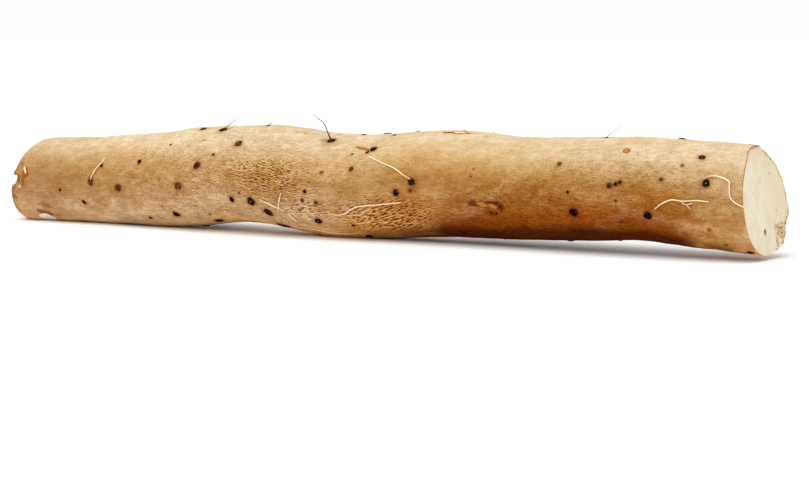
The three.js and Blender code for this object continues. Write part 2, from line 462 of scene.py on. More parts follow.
@dataclass(frozen=True)
class FleshFinish:
    """Raw yam where it was cut: cream and finely grained, with brown bits where it snapped and at its rim,
    and a brown line at its upper rim that is partly the skin's edge and partly painted shadow under the
    skin's lip.

    A blot or fleck is its y and z, its radius and its strength.
    """

    cream: Colour = srgb(219, 210, 188)
    warm: Colour = srgb(215, 200, 168)
    rind: Colour = srgb(200, 164, 110)
    husk_and_painted_shadow: Colour = srgb(140, 98, 56)
    vein: Colour = srgb(200, 172, 124)
    ruddy: Colour = srgb(214, 190, 158)
    speck: Colour = srgb(186, 136, 76)
    pit: Colour = srgb(152, 94, 38)
    blot: Colour = srgb(62, 26, 2)
    blots: tuple[tuple[float, ...], ...] = ((-0.7, 13.2, 1.0, 1.0),)
    flecks: tuple[tuple[float, ...], ...] = (
        (-0.7, 13.0, 1.7, 0.8), (7.0, 42.5, 0.7, 0.6), (-11.0, 32.0, 0.6, 0.7),
        (-2.0, 36.5, 0.7, 0.5), (11.0, 39.5, 0.8, 0.6), (15.0, 22.0, 0.8, 0.5),
    )
    roughness: float = 0.5
    blot_squash: float = 0.9
    specular: float = 0.12
    depth: float = 0.08
    depth_radii: Triple = (0.004, 0.003, 0.0015)

    def material(self) -> bpy.types.Material:
        """Builds the material.

        Returns:
            The material.
        """
        g = Graph("cut_flesh")
        _, y, z = g.parts()
        cloud = g.noise((12, 7, 12), 0.0, 3.0, 0.55)
        grain = g.noise((0.8, 0.8, 0.8), 0.0, 3.0, 0.6)
        far = (y * (1 / MM) + z * (0.4 / MM) + cloud.centred(16)).step(8, 30)
        colour = g.blend(far.larger(cloud.step(0.45, 0.7)), self.cream, self.warm)
        top = (z * (1 / MM) + cloud.centred(10)).step(40, 52)
        colour = g.blend(top * 0.8, colour, self.ruddy)
        inset = g.stored("inset") + g.noise((2, 2, 2), 4.0).centred(2.4)
        colour = g.blend((1 - inset.step(0.4, 3.2)) * (0.12 + 0.4 * far), colour, self.rind)
        veins = g.noise((2.4, 2.0, 4.4), 2.0).step(0.62, 0.74)
        colour = g.blend(veins * 0.3, colour, self.vein)
        specks = 1 - g.cells(g.sized((5.0, 5.0, 5.0))).step(0.08, 0.17)
        colour = g.blend(specks * (0.25 + 0.4 * far), colour, self.speck)
        for spots, paint in ((self.flecks, self.speck), (self.blots, self.blot)):
            for across, up, radius, strength in spots:
                colour = g.blend(self._blot(g, across, up, radius, grain) * strength, colour, paint)
        crumb = g.stored("crumb")
        colour = g.blend((crumb + grain.centred(0.9)).step(0.3, 0.7) * 0.6, colour, self.rind)
        pits = g.noise((1.3, 1.1, 1.1), 6.0, 1.0).step(0.48, 0.62) * crumb.step(0.2, 0.6)
        colour = g.blend(pits * 0.9, colour, self.pit)
        # The brown line at the upper rim: partly the skin's edge, partly painted shadow under the skin's
        # lip.
        husk_and_painted_shadow = (g.stored("husk_and_painted_shadow") + grain.centred(0.7)).step(0.35, 0.9)
        colour = g.blend(husk_and_painted_shadow * 0.7, colour, self.husk_and_painted_shadow)
        height = grain * 0.16 + g.noise((1.6, 1.6, 5.0), 3.0) * 0.14 - pits * 0.2
        inputs = {
            "Base Color": colour,
            "Roughness": self.roughness + grain.centred(0.2),
            "Specular IOR Level": self.specular,
            "Subsurface Weight": self.depth,
            "Subsurface Radius": self.depth_radii,
            "Subsurface Scale": 1.0,
        }
        return g.finish(inputs, height)

    def _blot(self, g: Graph, across: float, up: float, radius: float, grain: Signal) -> Signal:
        """Makes a dark spot on the cut.

        Args:
            g: The graph.
            across: Its y.
            up: Its z.
            radius: Its radius.
            grain: Noise that breaks its outline.

        Returns:
            1 in the spot and 0 outside.
        """
        scale = (0, 1 / (radius * MM), self.blot_squash / (radius * MM))
        centre = (0, across / radius, self.blot_squash * up / radius)
        flat = g.add("ShaderNodeVectorMath", {"operation": "MULTIPLY"}, {0: g.place, 1: scale})
        away = g.add("ShaderNodeVectorMath", {"operation": "DISTANCE"}, {0: flat, 1: centre}, 1)
        return 1 - (away + grain.centred(1.2)).step(0.6, 1.3)


@dataclass(frozen=True)
class ScarFinish:
    """Dry cork where a side root grew and dropped: near black in its cup, lighter on its crest, with a pale
    core and crumbs that are partly pale cork and partly painted glints.
    """

    cup: Colour = srgb(22, 7, 4)
    crest: Colour = srgb(46, 20, 13)
    skirt: Colour = srgb(84, 42, 22)
    core_and_glint: Colour = srgb(138, 112, 94)
    faded: Colour = srgb(134, 82, 44)
    roughness: float = 0.7

    def material(self) -> bpy.types.Material:
        """Builds the material.

        Returns:
            The material.
        """
        g = Graph("root_scar")
        grain = g.noise((0.5, 0.5, 0.5), 0.0, 3.0, 0.6)
        lift = g.stored("lift")
        colour = g.blend((lift + grain.centred(0.6)).step(0.4, 1.1), self.cup, self.crest)
        # Pale core and crumbs: partly pale cork, partly painted glints.
        colour = g.blend((g.stored("core_and_glint") + grain.centred(0.8)).step(0.3, 0.8), colour, self.core_and_glint)
        colour = g.blend((g.stored("skirt") + grain.centred(0.5)).step(0.3, 0.9), colour, self.skirt)
        crumbs_and_glints = g.noise((0.9, 0.9, 0.9), 6.0).step(0.56, 0.68) * lift
        colour = g.blend(crumbs_and_glints * 0.45, colour, self.core_and_glint)
        patch = g.noise((1.1, 1.1, 1.1), 9.0, 2.0, 0.6).step(0.42, 0.58)
        fade = g.stored("fade") * (0.2 + 1.35 * patch) * (1.15 - 0.4 * lift)
        colour = g.blend(fade, colour, self.faded)
        rough = self.roughness + grain.centred(0.3)
        return g.finish({"Base Color": colour, "Roughness": rough, "Specular IOR Level": 0.0}, grain * 0.3)


@dataclass(frozen=True)
class RootletFinish:
    """A thin dry rootlet, coloured from its foot to its tip."""

    name: str
    foot: Colour
    tip: Colour
    streak: Colour = srgb(206, 180, 150)
    roughness: float = 0.5
    specular: float = 0.1

    def material(self) -> bpy.types.Material:
        """Builds the material.

        Returns:
            The material.
        """
        g = Graph(self.name)
        streak = g.noise((1.6, 0.5, 0.5), 0.0, 2.0, 0.6)
        colour = g.blend((g.stored("reach") + streak.centred(0.5)).step(0.02, 0.4), self.foot, self.tip)
        colour = g.tint(streak.step(0.45, 0.75) * 0.6, colour, self.streak)
        rough = self.roughness + streak.centred(0.2)
        inputs = {"Base Color": colour, "Roughness": rough, "Specular IOR Level": self.specular}
        return g.finish(inputs, streak * 0.08)


@dataclass(frozen=True)
class FlakeFinish:
    """A curl of peeled skin: cork brown at its rim, golden where it is thick and pale where it is thin."""

    rim: Colour = srgb(104, 50, 14)
    gold: Colour = srgb(172, 110, 42)
    face: Colour = srgb(226, 198, 148)
    specular: float = 0.05

    def material(self) -> bpy.types.Material:
        """Builds the material.

        Returns:
            The material.
        """
        g = Graph("skin_flake")
        grain = g.noise((1.2, 0.6, 0.6), 0.0, 3.0, 0.6)
        stops = ((0.15, self.rim), (0.38, self.gold), (0.62, self.gold), (0.95, self.face))
        colour = g.ramp(g.stored("paleness") + grain.centred(0.6), stops)
        inputs = {"Base Color": colour, "Roughness": 0.5 + 0.3 * grain, "Specular IOR Level": self.specular}
        return g.finish(inputs, grain * 0.12)


@dataclass(frozen=True)
class FloorFinish:
    """A plain pale table top with a faint tooth."""

    tone: Colour = (0.8, 0.8, 0.8)
    tooth: Colour = (0.788, 0.788, 0.788)
    roughness: float = 0.8
    specular: float = 0.2

    def material(self) -> bpy.types.Material:
        """Builds the material.

        Returns:
            The material.
        """
        g = Graph("table_top")
        colour = g.blend(g.noise((3, 3, 3)).step(0.4, 0.6), self.tone, self.tooth)
        inputs = {"Base Color": colour, "Roughness": self.roughness, "Specular IOR Level": self.specular}
        return g.finish(inputs)


# ----- Numbers on grids -----


# The hash of a lattice corner: a prime for each axis, one for the seed, and one that mixes the bits.
AXIS_PRIMES = np.array((73856093, 19349663, 83492791))
SEED_PRIME = 2654435761
MIXING_PRIME = 1274126177
LOW_32_BITS = 0xFFFFFFFF
LOW_16_BITS = 0xFFFF


def lattice_noise(places: np.ndarray, seed: int) -> np.ndarray:
    """Smooth noise from -1 to 1 on a lattice one unit wide.

    Args:
        places: Points, with x, y and z along the last axis.
        seed: Which of many noise fields to read.

    Returns:
        One number per point.
    """
    cell = np.floor(places).astype(np.int64)
    share = places - cell
    share = share * share * (3 - 2 * share)
    total = np.zeros(places.shape[:-1])
    for corner in itertools.product((0, 1), repeat=3):
        key = ((cell + corner) @ AXIS_PRIMES + seed * SEED_PRIME) & LOW_32_BITS
        key = ((key ^ (key >> 13)) * MIXING_PRIME) & LOW_32_BITS
        value = ((key ^ (key >> 16)) & LOW_16_BITS) * 2 / LOW_16_BITS - 1
        total += value * np.prod(np.where(np.array(corner, bool), share, 1 - share), axis=-1)
    return total


def layered_noise(places: np.ndarray, size: Sequence[float], layers: int, seed: int) -> np.ndarray:
    """Noise of several layers, each half as large and half as strong as the last.

    Args:
        places: Points in millimetres.
        size: The first layer's size along x, y and z.
        layers: How many layers.
        seed: Which of many noise fields to read.

    Returns:
        One number per point, roughly from -1 to 1.
    """
    scaled = places / np.array(size)
    return sum(lattice_noise(scaled * 2**k, seed + k) / 2**k for k in range(layers))


def smooth_step(values: np.ndarray | float, low: float, high: float) -> np.ndarray:
    """Steps smoothly from 0 at low to 1 at high."""
    share = np.clip((values - low) / (high - low), 0, 1)
    return share * share * (3 - 2 * share)


def hump(values: np.ndarray, middle: float, width: np.ndarray | float) -> np.ndarray:
    """A smooth hump that is 1 at its middle and fades over its width."""
    return np.exp(-(((values - middle) / width) ** 2))


def relaxed(grid: np.ndarray, passes: int) -> np.ndarray:
    """Smooths a grid whose second axis runs round and closes on itself.

    Args:
        grid: The grid.
        passes: How many times each place is drawn towards its neighbours.

    Returns:
        The smoothed grid.
    """
    for _ in range(passes):
        grid = (np.roll(grid, 1, 1) + 2 * grid + np.roll(grid, -1, 1)) / 4
        padded = np.concatenate([grid[:1], grid, grid[-1:]])
        grid = (padded[:-2] + 2 * grid + padded[2:]) / 4
    return grid


def unit(vectors: np.ndarray) -> np.ndarray:
    """Scales vectors to length 1."""
    return vectors / np.maximum(np.linalg.norm(vectors, axis=-1, keepdims=True), 1e-12)


def curve_through(points: np.ndarray, gap: float) -> np.ndarray:
    """A smooth curve through points.

    Args:
        points: The points, one per row.
        gap: Roughly how far apart the curve's own points are.

    Returns:
        The curve's points.
    """
    ends = np.vstack([2 * points[0] - points[1], points, 2 * points[-1] - points[-2]])
    pieces = []
    for a, b, c, d in zip(ends, ends[1:], ends[2:], ends[3:]):
        steps = max(2, round(float(np.linalg.norm(c - b)) / gap))
        t = np.linspace(0, 1, steps, endpoint=False)[:, None]
        square, cube = 2 * a - 5 * b + 4 * c - d, 3 * b - a - 3 * c + d
        pieces.append(0.5 * (2 * b + (c - a) * t + square * t**2 + cube * t**3))
    return np.vstack([*pieces, points[-1:]])


# ----- Meshes -----


class MeshDraft:
    """Points in millimetres, faces and per-point numbers, gathered before they become one mesh."""

    def __init__(self) -> None:
        """Starts an empty draft."""
        self.points: list[Sequence[float]] = []
        self.faces: list[Face] = []
        self.numbers: dict[str, list[float]] = {}

    def add(self, points: Iterable, faces: Iterable[Face], **numbers: Iterable[float]) -> None:
        """Adds a part, whose faces count from its own first point.

        Args:
            points: The part's points.
            faces: The part's faces.
            numbers: One list per stored number, in the points' order.
        """
        start = len(self.points)
        self.points.extend(tuple(map(float, point)) for point in points)
        self.faces.extend(tuple(start + index for index in face) for face in faces)
        for name, values in numbers.items():
            self.numbers.setdefault(name, []).extend(map(float, values))

    def piece(self, name: str, materials: Sequence[bpy.types.Material]) -> bpy.types.Object:
        """Makes the object, smooth shaded, riding on the root body.

        Args:
            name: The piece's name.
            materials: The materials that its faces index.

        Returns:
            The object.
        """
        mesh = bpy.data.meshes.new(name)
        mesh.from_pydata((np.array(self.points) * MM).tolist(), [], self.faces)
        for attribute, values in self.numbers.items():
            mesh.attributes.new(attribute, "FLOAT", "POINT").data.foreach_set("value", values)
        for material in materials:
            mesh.materials.append(material)
        mesh.shade_smooth()
        mesh.update()
        made = bpy.data.objects.new(name, mesh)
        bpy.context.scene.collection.objects.link(made)
        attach(made, BODY)
        return made


def shell(index: np.ndarray, start: int | None, end: int | None, flip: bool = False) -> list[Face]:
    """Faces over rings of points that close on themselves.

    Args:
        index: The points' numbers, one ring per row.
        start: A point that closes the first ring, or None.
        end: A point that closes the last ring, or None.
        flip: Whether to turn the faces over.

    Returns:
        The faces: the bands between the rings first, then the fans at the ends.
    """
    after = np.roll(index, -1, 1)
    corners = [index[:-1], index[1:], after[1:], after[:-1]]
    if flip:
        corners[1], corners[3] = corners[3], corners[1]
    faces = [tuple(map(int, quad)) for quad in np.stack(corners, -1).reshape(-1, 4)]
    for apex, row, backward in ((start, 0, flip), (end, -1, not flip)):
        if apex is not None:
            ring = (after[row], index[row]) if backward else (index[row], after[row])
            faces += [(apex, int(a), int(b)) for a, b in zip(*ring)]
    return faces


def tube(draft: MeshDraft, path: np.ndarray, radii: np.ndarray, sides: int = 8) -> None:
    """Adds a closed round tube to a draft, and stores each point's share of the way as "reach".

    Args:
        draft: The draft to add to.
        path: The tube's middle, one point per row.
        radii: Its radius at each of those points.
        sides: How many sides it has.
    """
    along = unit(np.gradient(path, axis=0))
    any_way = (0.13, 0.21, 0.97)
    side = unit(np.cross(along[0], any_way))
    points = [path[0]]
    for middle, forward, radius in zip(path, along, radii):
        side = unit(side - forward * (side @ forward))
        other = np.cross(forward, side)
        for k in range(sides):
            angle = 2 * math.pi * k / sides
            points.append(middle + radius * (math.cos(angle) * side + math.sin(angle) * other))
    points.append(path[-1])
    last = len(points) - 1
    faces = shell(np.arange(1, last).reshape(-1, sides), 0, last, True)
    reach = [0.0, *np.repeat(np.linspace(0, 1, len(path)), sides), 1.0]
    draft.add(points, faces, reach=reach)


# ----- The tuber's form -----


@dataclass(frozen=True)
class Spot:
    """An oval place on the skin, with its long way along the tuber unless it leans."""

    x: float
    turn: float
    length: float
    height: float
    lean: float = 0.0
    strength: float = 1.0


def spots(*rows: tuple[float, ...]) -> tuple[Spot, ...]:
    """Makes spots from rows of their numbers, in the order of Spot's fields."""
    return tuple(Spot(*row) for row in rows)


@dataclass(frozen=True)
class Seat:
    """Where something sits on the skin: its point, and the ways out, along and around there."""

    point: np.ndarray
    out: np.ndarray
    along: np.ndarray
    around: np.ndarray

    def over(self, u: float, v: float, lean: float, rise: float, girth: float) -> np.ndarray:
        """Finds a point over the skin beside the seat.

        Args:
            u: How far it is along the tuber, before leaning.
            v: How far it is around, before leaning.
            lean: How far u and v are turned, in degrees.
            rise: Its height over the skin.
            girth: The tuber's thickness, for how the skin falls away.

        Returns:
            The point.
        """
        cosine, sine = math.cos(math.radians(lean)), math.sin(math.radians(lean))
        u, v = u * cosine - v * sine, u * sine + v * cosine
        return self.point + self.along * u + self.around * v + self.out * (rise - v * v / girth)


@dataclass
class CutPlanes:
    """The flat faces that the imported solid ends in, at its cut end."""

    least_tilt: float = 0.9
    end_share: float = 0.8
    planes: list[tuple[np.ndarray, float]] = field(default_factory=list)
    nearest_x: float = 0.0

    def read(self, node: bpy.types.Object, end_x: float) -> "CutPlanes":
        """Finds the planes of the faces that look along +X at the cut end.

        Args:
            node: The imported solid.
            end_x: Its greatest x.

        Returns:
            This.
        """
        seen = {}
        lows = []
        for polygon in node.data.polygons:
            normal = polygon.normal
            if normal.x > self.least_tilt and polygon.center.x > self.end_share * end_x * MM:
                key = tuple(round(part, 2) for part in normal)
                seen[key] = (np.array(normal), float(normal.dot(polygon.center)) / MM)
                lows.extend(node.data.vertices[index].co.x / MM for index in polygon.vertices)
        self.planes = list(seen.values())
        self.nearest_x = min(lows)
        return self

    def x_at(self, y: np.ndarray, z: np.ndarray) -> np.ndarray:
        """The cut's x at places across it."""
        return np.max([(offset - n[1] * y - n[2] * z) / n[0] for n, offset in self.planes], axis=0)


@dataclass
class TuberForm:
    """The tuber's outside as a grid: rings from the tip to the cut, and columns round it, one per turn.

    At the cut's rim, bends are how far the skin runs past the cut, lips how far a thin edge of skin stands
    beyond that, and husks how wide the skin's brown edge and the painted shadow line under its lip are,
    each as (turn, size).
    """

    columns: int = 184
    ring_gap: float = 0.95
    tip_rings: int = 42
    tip_depth: float = 25.0
    end_zone: float = 14.0
    end_margin: float = 1.0
    axis_gap: float = 6.0
    axis_smoothing: int = 2
    smoothing: int = 14
    lead: int = 9
    bends: tuple[Pair, ...] = (
        (-180, -0.7), (-165, 0.0), (-150, -0.5), (-142, 0.6), (-125, 1.6), (-110, 1.5), (-95, 0.4),
        (-80, 0.0), (48, 0.0), (60, -0.8), (72, -1.4), (90, -1.2), (108, -2.4), (135, -1.9), (160, -1.5),
        (180, -0.7),
    )
    lips: tuple[Pair, ...] = (
        (20, 0.0), (35, 0.2), (70, 0.3), (78, 0.5), (84, 0.8), (92, 0.7), (97, 0.2), (104, 0.0),
    )
    husk_and_shadow_widths: tuple[Pair, ...] = (
        (-180, 0.0), (15, 0.0), (30, 0.45), (62, 0.6), (76, 2.0), (88, 1.7), (97, 0.5), (110, 0.0),
        (180, 0.0),
    )
    jag: float = 0.4
    jag_turn: float = 175.0
    jag_ends: Pair = (95.0, 70.0)
    jag_size: Triple = (3.0, 2.4, 2.4)
    jag_seed: int = 5
    lip_jag: float = 0.4
    points: np.ndarray = field(default_factory=lambda: np.zeros((0, 0, 3)))
    outs: np.ndarray = field(default_factory=lambda: np.zeros((0, 0, 3)))
    plain_x: np.ndarray = field(default_factory=lambda: np.zeros((0, 0)))

    def read(self, node: bpy.types.Object) -> "TuberForm":
        """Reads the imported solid's outside and smooths its facets.

        Args:
            node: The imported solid.

        Returns:
            This.
        """
        low, high = (np.array(corner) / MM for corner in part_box(CAD_NODE))
        self.cut = CutPlanes().read(node, high[0])
        self.tree = BVHTree.FromObject(node, bpy.context.evaluated_depsgraph_get())
        self.turns = np.linspace(-180, 180, self.columns, endpoint=False)
        self.tip_x = low[0] + self.tip_depth
        safe_x = self.cut.nearest_x - self.end_margin
        self._read_axis(safe_x, high[0])
        origins, ways, inside = self._rays(safe_x)
        reach = np.full(inside.shape, np.nan)
        for ring, column in np.argwhere(inside):
            reach[ring, column] = self._distance(origins[ring, column], ways[ring, column])
        self._extend(reach, origins[..., 0])
        reach = relaxed(reach, self.smoothing)
        self.points = origins + ways * reach[..., None]
        self.plain_x = self.points[..., 0].copy()
        self._settle()
        return self

    def _distance(self, origin: np.ndarray, way: np.ndarray) -> float:
        """How far the solid's wall is from a point inside it."""
        return self.tree.ray_cast(Vector(origin * MM), Vector(way))[3] / MM

    def _read_axis(self, safe_x: float, end_x: float) -> None:
        """Finds the line through the middle of the sections, and carries it straight on past the cut.

        Args:
            safe_x: Up to where a section lies wholly inside the cut.
            end_x: The solid's greatest x.
        """
        xs = np.append(np.arange(self.tip_x, safe_x - self.axis_gap / 2, self.axis_gap), safe_x)
        middles = []
        middle = np.array([0.0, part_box(CAD_NODE)[1].z / MM / 2])
        for x in xs:
            for _ in range(2):
                for part, way in enumerate(np.eye(3)[1:]):
                    origin = np.array([x, *middle])
                    middle[part] += (self._distance(origin, way) - self._distance(origin, -way)) / 2
            middles.append(middle.copy())
        beyond = end_x + self.axis_gap
        share = (beyond - xs[-1]) / (xs[-1] - xs[-3])
        middles.append(middles[-1] + (middles[-1] - middles[-3]) * share)
        self.axis_x = np.append(xs, beyond)
        self.axis = relaxed(np.array(middles)[:, None, :], self.axis_smoothing)[:, 0]

    def axis_at(self, x: np.ndarray) -> tuple[np.ndarray, np.ndarray]:
        """The middle's y and z at x."""
        return np.interp(x, self.axis_x, self.axis[:, 0]), np.interp(x, self.axis_x, self.axis[:, 1])

    def _rays(self, safe_x: float) -> tuple[np.ndarray, np.ndarray, np.ndarray]:
        """Where each grid point is looked for: from a point inside, along a way out.

        Args:
            safe_x: Up to where a section lies wholly inside the cut.

        Returns:
            The starting points, the ways, and which of them meet the skin.
        """
        turn = np.radians(self.turns)
        radial = np.stack([np.zeros(self.columns), -np.cos(turn), np.sin(turn)], 1)
        polar = (np.radians(90) * np.arange(1, self.tip_rings + 1) / self.tip_rings)[:, None, None]
        tip_ways = np.sin(polar) * radial - np.cos(polar) * np.array([1.0, 0, 0])
        tip_x = np.full((self.tip_rings, self.columns), self.tip_x)
        bend_x = safe_x - self.end_zone
        straight = np.arange(self.tip_x + self.ring_gap, bend_x, self.ring_gap)
        rim = self._rim_x(radial, safe_x)
        steps = round((rim.mean() - bend_x) / self.ring_gap)
        share = np.arange(steps + 1)[:, None] / steps
        end_x = bend_x + (rim - bend_x) * share
        xs = np.vstack([tip_x, np.repeat(straight[:, None], self.columns, 1), end_x])
        origins = np.stack([xs, *self.axis_at(xs)], -1)
        side_ways = np.broadcast_to(radial, (len(straight) + steps + 1, self.columns, 3))
        return origins, np.concatenate([tip_ways, side_ways]), xs <= safe_x

    def _rim_x(self, radial: np.ndarray, safe_x: float) -> np.ndarray:
        """Finds where each column meets the cut, and keeps how it bends and lips there.

        Args:
            radial: Each column's way out.
            safe_x: Up to where a section lies wholly inside the cut.

        Returns:
            The x of each column's end.
        """
        origin = np.array([safe_x, *self.axis_at(safe_x)])
        skin = np.array([origin + way * self._distance(origin, way) for way in radial])
        jagged = smooth_step(np.abs(self.turns - self.jag_turn + 360 * (self.turns < 0)), *self.jag_ends)
        rough = layered_noise(skin, self.jag_size, 2, self.jag_seed)
        self.bend = np.interp(self.turns, *zip(*self.bends)) + self.jag * jagged * rough
        self.lip = np.interp(self.turns, *zip(*self.lips)) * (1 + self.lip_jag * rough)
        return self.cut.x_at(skin[:, 1], skin[:, 2]) + self.bend + self.lip

    def _extend(self, reach: np.ndarray, xs: np.ndarray) -> None:
        """Carries each column straight on past the last place where its distance is known.

        Args:
            reach: Each grid point's distance, or NaN. It is filled in here.
            xs: Each grid point's x.
        """
        for column in range(reach.shape[1]):
            known = np.flatnonzero(~np.isnan(reach[:, column]))[-1]
            rise = reach[known, column] - reach[known - self.lead, column]
            slope = rise / (xs[known, column] - xs[known - self.lead, column])
            beyond = slice(known + 1, None)
            reach[beyond, column] = reach[known, column] + slope * (xs[beyond, column] - xs[known, column])

    def _settle(self) -> None:
        """Keeps the skin on or above the table, and works out the ways out of it."""
        self.points[..., 2] = np.maximum(self.points[..., 2], 0.0)
        along = np.gradient(self.points, axis=0)
        around = np.roll(self.points, -1, 1) - np.roll(self.points, 1, 1)
        self.outs = unit(np.cross(along, around))

    def raise_skin(self, heights: np.ndarray) -> None:
        """Moves each grid point out by its height, which is negative for a hollow."""
        self.points = self.points + self.outs * heights[..., None]
        self._settle()

    def seat(self, x: float, turn: float) -> Seat:
        """Finds the skin at a place.

        Args:
            x: The place's x.
            turn: Its turn in degrees.

        Returns:
            The seat there.
        """
        column = ((turn + 180) % 360) / 360 * self.columns
        left = int(column) % self.columns
        right = (left + 1) % self.columns
        part = column - int(column)
        places = self.plain_x[:, left] * (1 - part) + self.plain_x[:, right] * part
        ring = float(np.interp(x, places, np.arange(len(places))))
        low = min(int(ring), len(places) - 2)
        share = ring - low
        corners = [(low, left, (1 - share) * (1 - part)), (low, right, (1 - share) * part)]
        corners += [(low + 1, left, share * (1 - part)), (low + 1, right, share * part)]
        point = sum(self.points[i, j] * weight for i, j, weight in corners)
        out = unit(sum(self.outs[i, j] * weight for i, j, weight in corners))
        along = self.points[low + 1, left] - self.points[low, left]
        along = unit(along - out * (along @ out))
        return Seat(point, out, along, np.cross(out, along))

    def away_from(self, spot: Spot) -> np.ndarray:
        """Measures how far each grid point is from the middle of a spot.

        Args:
            spot: The spot.

        Returns:
            0 in its middle, 1 at its edge and more outside.
        """
        seat = self.seat(spot.x, spot.turn)
        offset = self.points - seat.point
        lean = math.radians(spot.lean)
        u, v = offset @ seat.along, offset @ seat.around
        v = np.copysign(np.hypot(v, offset @ seat.out), v)
        long_way = u * math.cos(lean) + v * math.sin(lean)
        short_way = v * math.cos(lean) - u * math.sin(lean)
        return np.hypot(long_way / (spot.length / 2), short_way / (spot.height / 2))


# ----- What grows on the skin -----


class ScarKind(Enum):
    """How the cork of a root scar stands.

    Each profile runs from the rim to the middle, as (share of the radius, height, how pale). How pale is
    partly pale cork and partly a painted glint, most in the ring's middle. A healed scar has no cork of its
    own, only a brown spot in the skin.
    """

    CUP = (
        (1.25, -0.30, 0), (1.04, 0.02, 0), (0.90, 0.28, 0), (0.74, 0.38, 0),
        (0.56, 0.28, 0), (0.40, 0.12, 0), (0.24, 0.08, 0), (0.10, 0.12, 0),
    )
    RING = (
        (1.25, -0.30, 0), (1.04, 0.04, 0), (0.92, 0.34, 0), (0.76, 0.42, 0),
        (0.58, 0.14, 0), (0.42, 0.16, 0), (0.24, 0.34, 0.45), (0.10, 0.34, 0.8),
    )
    KNOB = (
        (1.25, -0.30, 0), (1.02, 0.08, 0), (0.86, 0.36, 0), (0.68, 0.52, 0),
        (0.50, 0.56, 0), (0.34, 0.42, 0), (0.20, 0.44, 0), (0.08, 0.50, 0),
    )
    WORN = (
        (1.25, -0.30, 0), (1.04, 0.02, 0), (0.90, 0.28, 0), (0.74, 0.34, 0),
        (0.56, 0.22, 0.2), (0.40, 0.18, 0.35), (0.24, 0.20, 0.35), (0.10, 0.22, 0.35),
    )
    FADED = (
        (1.20, -0.30, 0), (1.00, 0.02, 0), (0.80, 0.10, 0), (0.60, 0.14, 0),
        (0.40, 0.12, 0), (0.20, 0.10, 0),
    )
    HEALED = ()


@dataclass(frozen=True)
class Scar:
    """One root scar."""

    x: float
    turn: float
    radius: float
    kind: ScarKind = ScarKind.CUP
    stretch: float = 1.0
    lean: float = 0.0
    fade: float = 0.0


CUP, RING, KNOB, WORN, FADED, HEALED = ScarKind
# The front side's scars, by the fields of Scar.
FRONT_SCARS = (
    (-158, 0, 1.85, WORN, 0.95, 0, 0.4), (-138, -7, 1.8, WORN, 1.15, 0, 0.3), (-125, 24, 1.2, CUP, 0.95),
    (-101, -42, 1.6, CUP, 1.3, -20), (-94, -8, 1.8, WORN, 1.15, 0, 0.35), (-93, 75, 1.4, KNOB, 1.3),
    (-82, 13, 1.85, CUP, 1.15, 0, 0.15), (-79, -66, 1.8, KNOB, 1.5), (-77, 69, 1.8, KNOB, 1.3, 10),
    (-59, 42, 1.7, RING, 1.2, 8, 0.3), (-59, -25, 1.5, CUP, 0.95, -10), (-46, -24, 2.25, RING, 0.95),
    (-38, -37, 2.1, KNOB, 1.25, -50), (-36, -67, 2.2, KNOB, 1.6, -10), (-8, -40, 1.85, RING, 1.05),
    (-6, 64, 2.05, KNOB, 1.0, 0, 0.08), (14, -72, 1.6, CUP, 1.2), (23, 46, 1.6, KNOB, 1.1, 30),
    (20.6, 41.5, 0.8, KNOB, 1.2, 20), (41, -5, 1.65, CUP, 0.95), (50, 6, 1.7, KNOB, 1.1),
    (131, 29, 1.05, FADED, 1.1, 0, 0.2), (139, -22, 2.2, CUP, 1.05), (159, 6, 1.15, KNOB, 1.15, 0, 0.15),
    (162.2, 7.6, 0.8, KNOB, 1.2, 15), (164.4, 9.6, 0.65, KNOB, 1.5, 15), (178, -23, 1.95, CUP, 1.05, 10),
    (185, 83, 1.3, KNOB, 1.4), (185, 16, 0.85, FADED, 1.25, 0, 0.15), (202, 45, 1.25, CUP, 1.25, 0, 0.15),
    (207, 17, 1.7, RING, 1.05, 10), (224, -60, 1.3, KNOB, 1.4), (-181, -11, 0.9, CUP, 0.7),
    (-165, -26, 0.9, CUP, 1.8, -30), (-152, 20, 0.8, KNOB, 1.1), (-121, -46, 0.9, CUP, 1.3),
    (-108, 0, 0.9, HEALED), (-108, -29, 0.6, HEALED, 1.4), (-107, 45, 0.6, KNOB, 1.2),
    (-84, 48, 0.7, HEALED, 1.3), (-73, 26, 0.8, FADED), (-53, -16, 0.5, KNOB), (-52, 86, 0.9, KNOB),
    (-80, -49, 1.1, HEALED), (-67, -44, 0.6, HEALED), (-11, -4, 0.85, CUP, 1.1), (-13, -14, 0.9, FADED),
    (-5, -15, 1.0, FADED), (-2, 17, 1.0, HEALED, 1.5), (12, 40, 0.5, KNOB, 1.2), (15, 21, 1.15, FADED),
    (11, -46, 0.7, CUP, 1.3), (6, 90, 1.0, KNOB, 1.3), (27, 78, 1.0, KNOB), (49, -3, 1.6, HEALED, 0.9),
    (70, -62, 1.0, CUP, 1.3), (84, 22, 0.7, HEALED, 1.2), (83, 14, 0.6, HEALED, 1.4),
    (92.5, -25, 0.9, CUP, 1.1, 0, 0.1), (95.3, -25.5, 0.7, KNOB, 1.3, 20, 0.1), (109, -44, 1.0, FADED, 1.5),
    (137, 0, 0.7, KNOB, 0.8), (148, 72, 0.8, KNOB), (162, -10, 0.6, FADED), (163, -34, 0.9, HEALED, 1.2),
    (194, 33, 1.3, HEALED), (208, -30, 1.2, HEALED), (222, -18, 0.6, HEALED), (214, -49, 0.9, HEALED, 1.3),
)


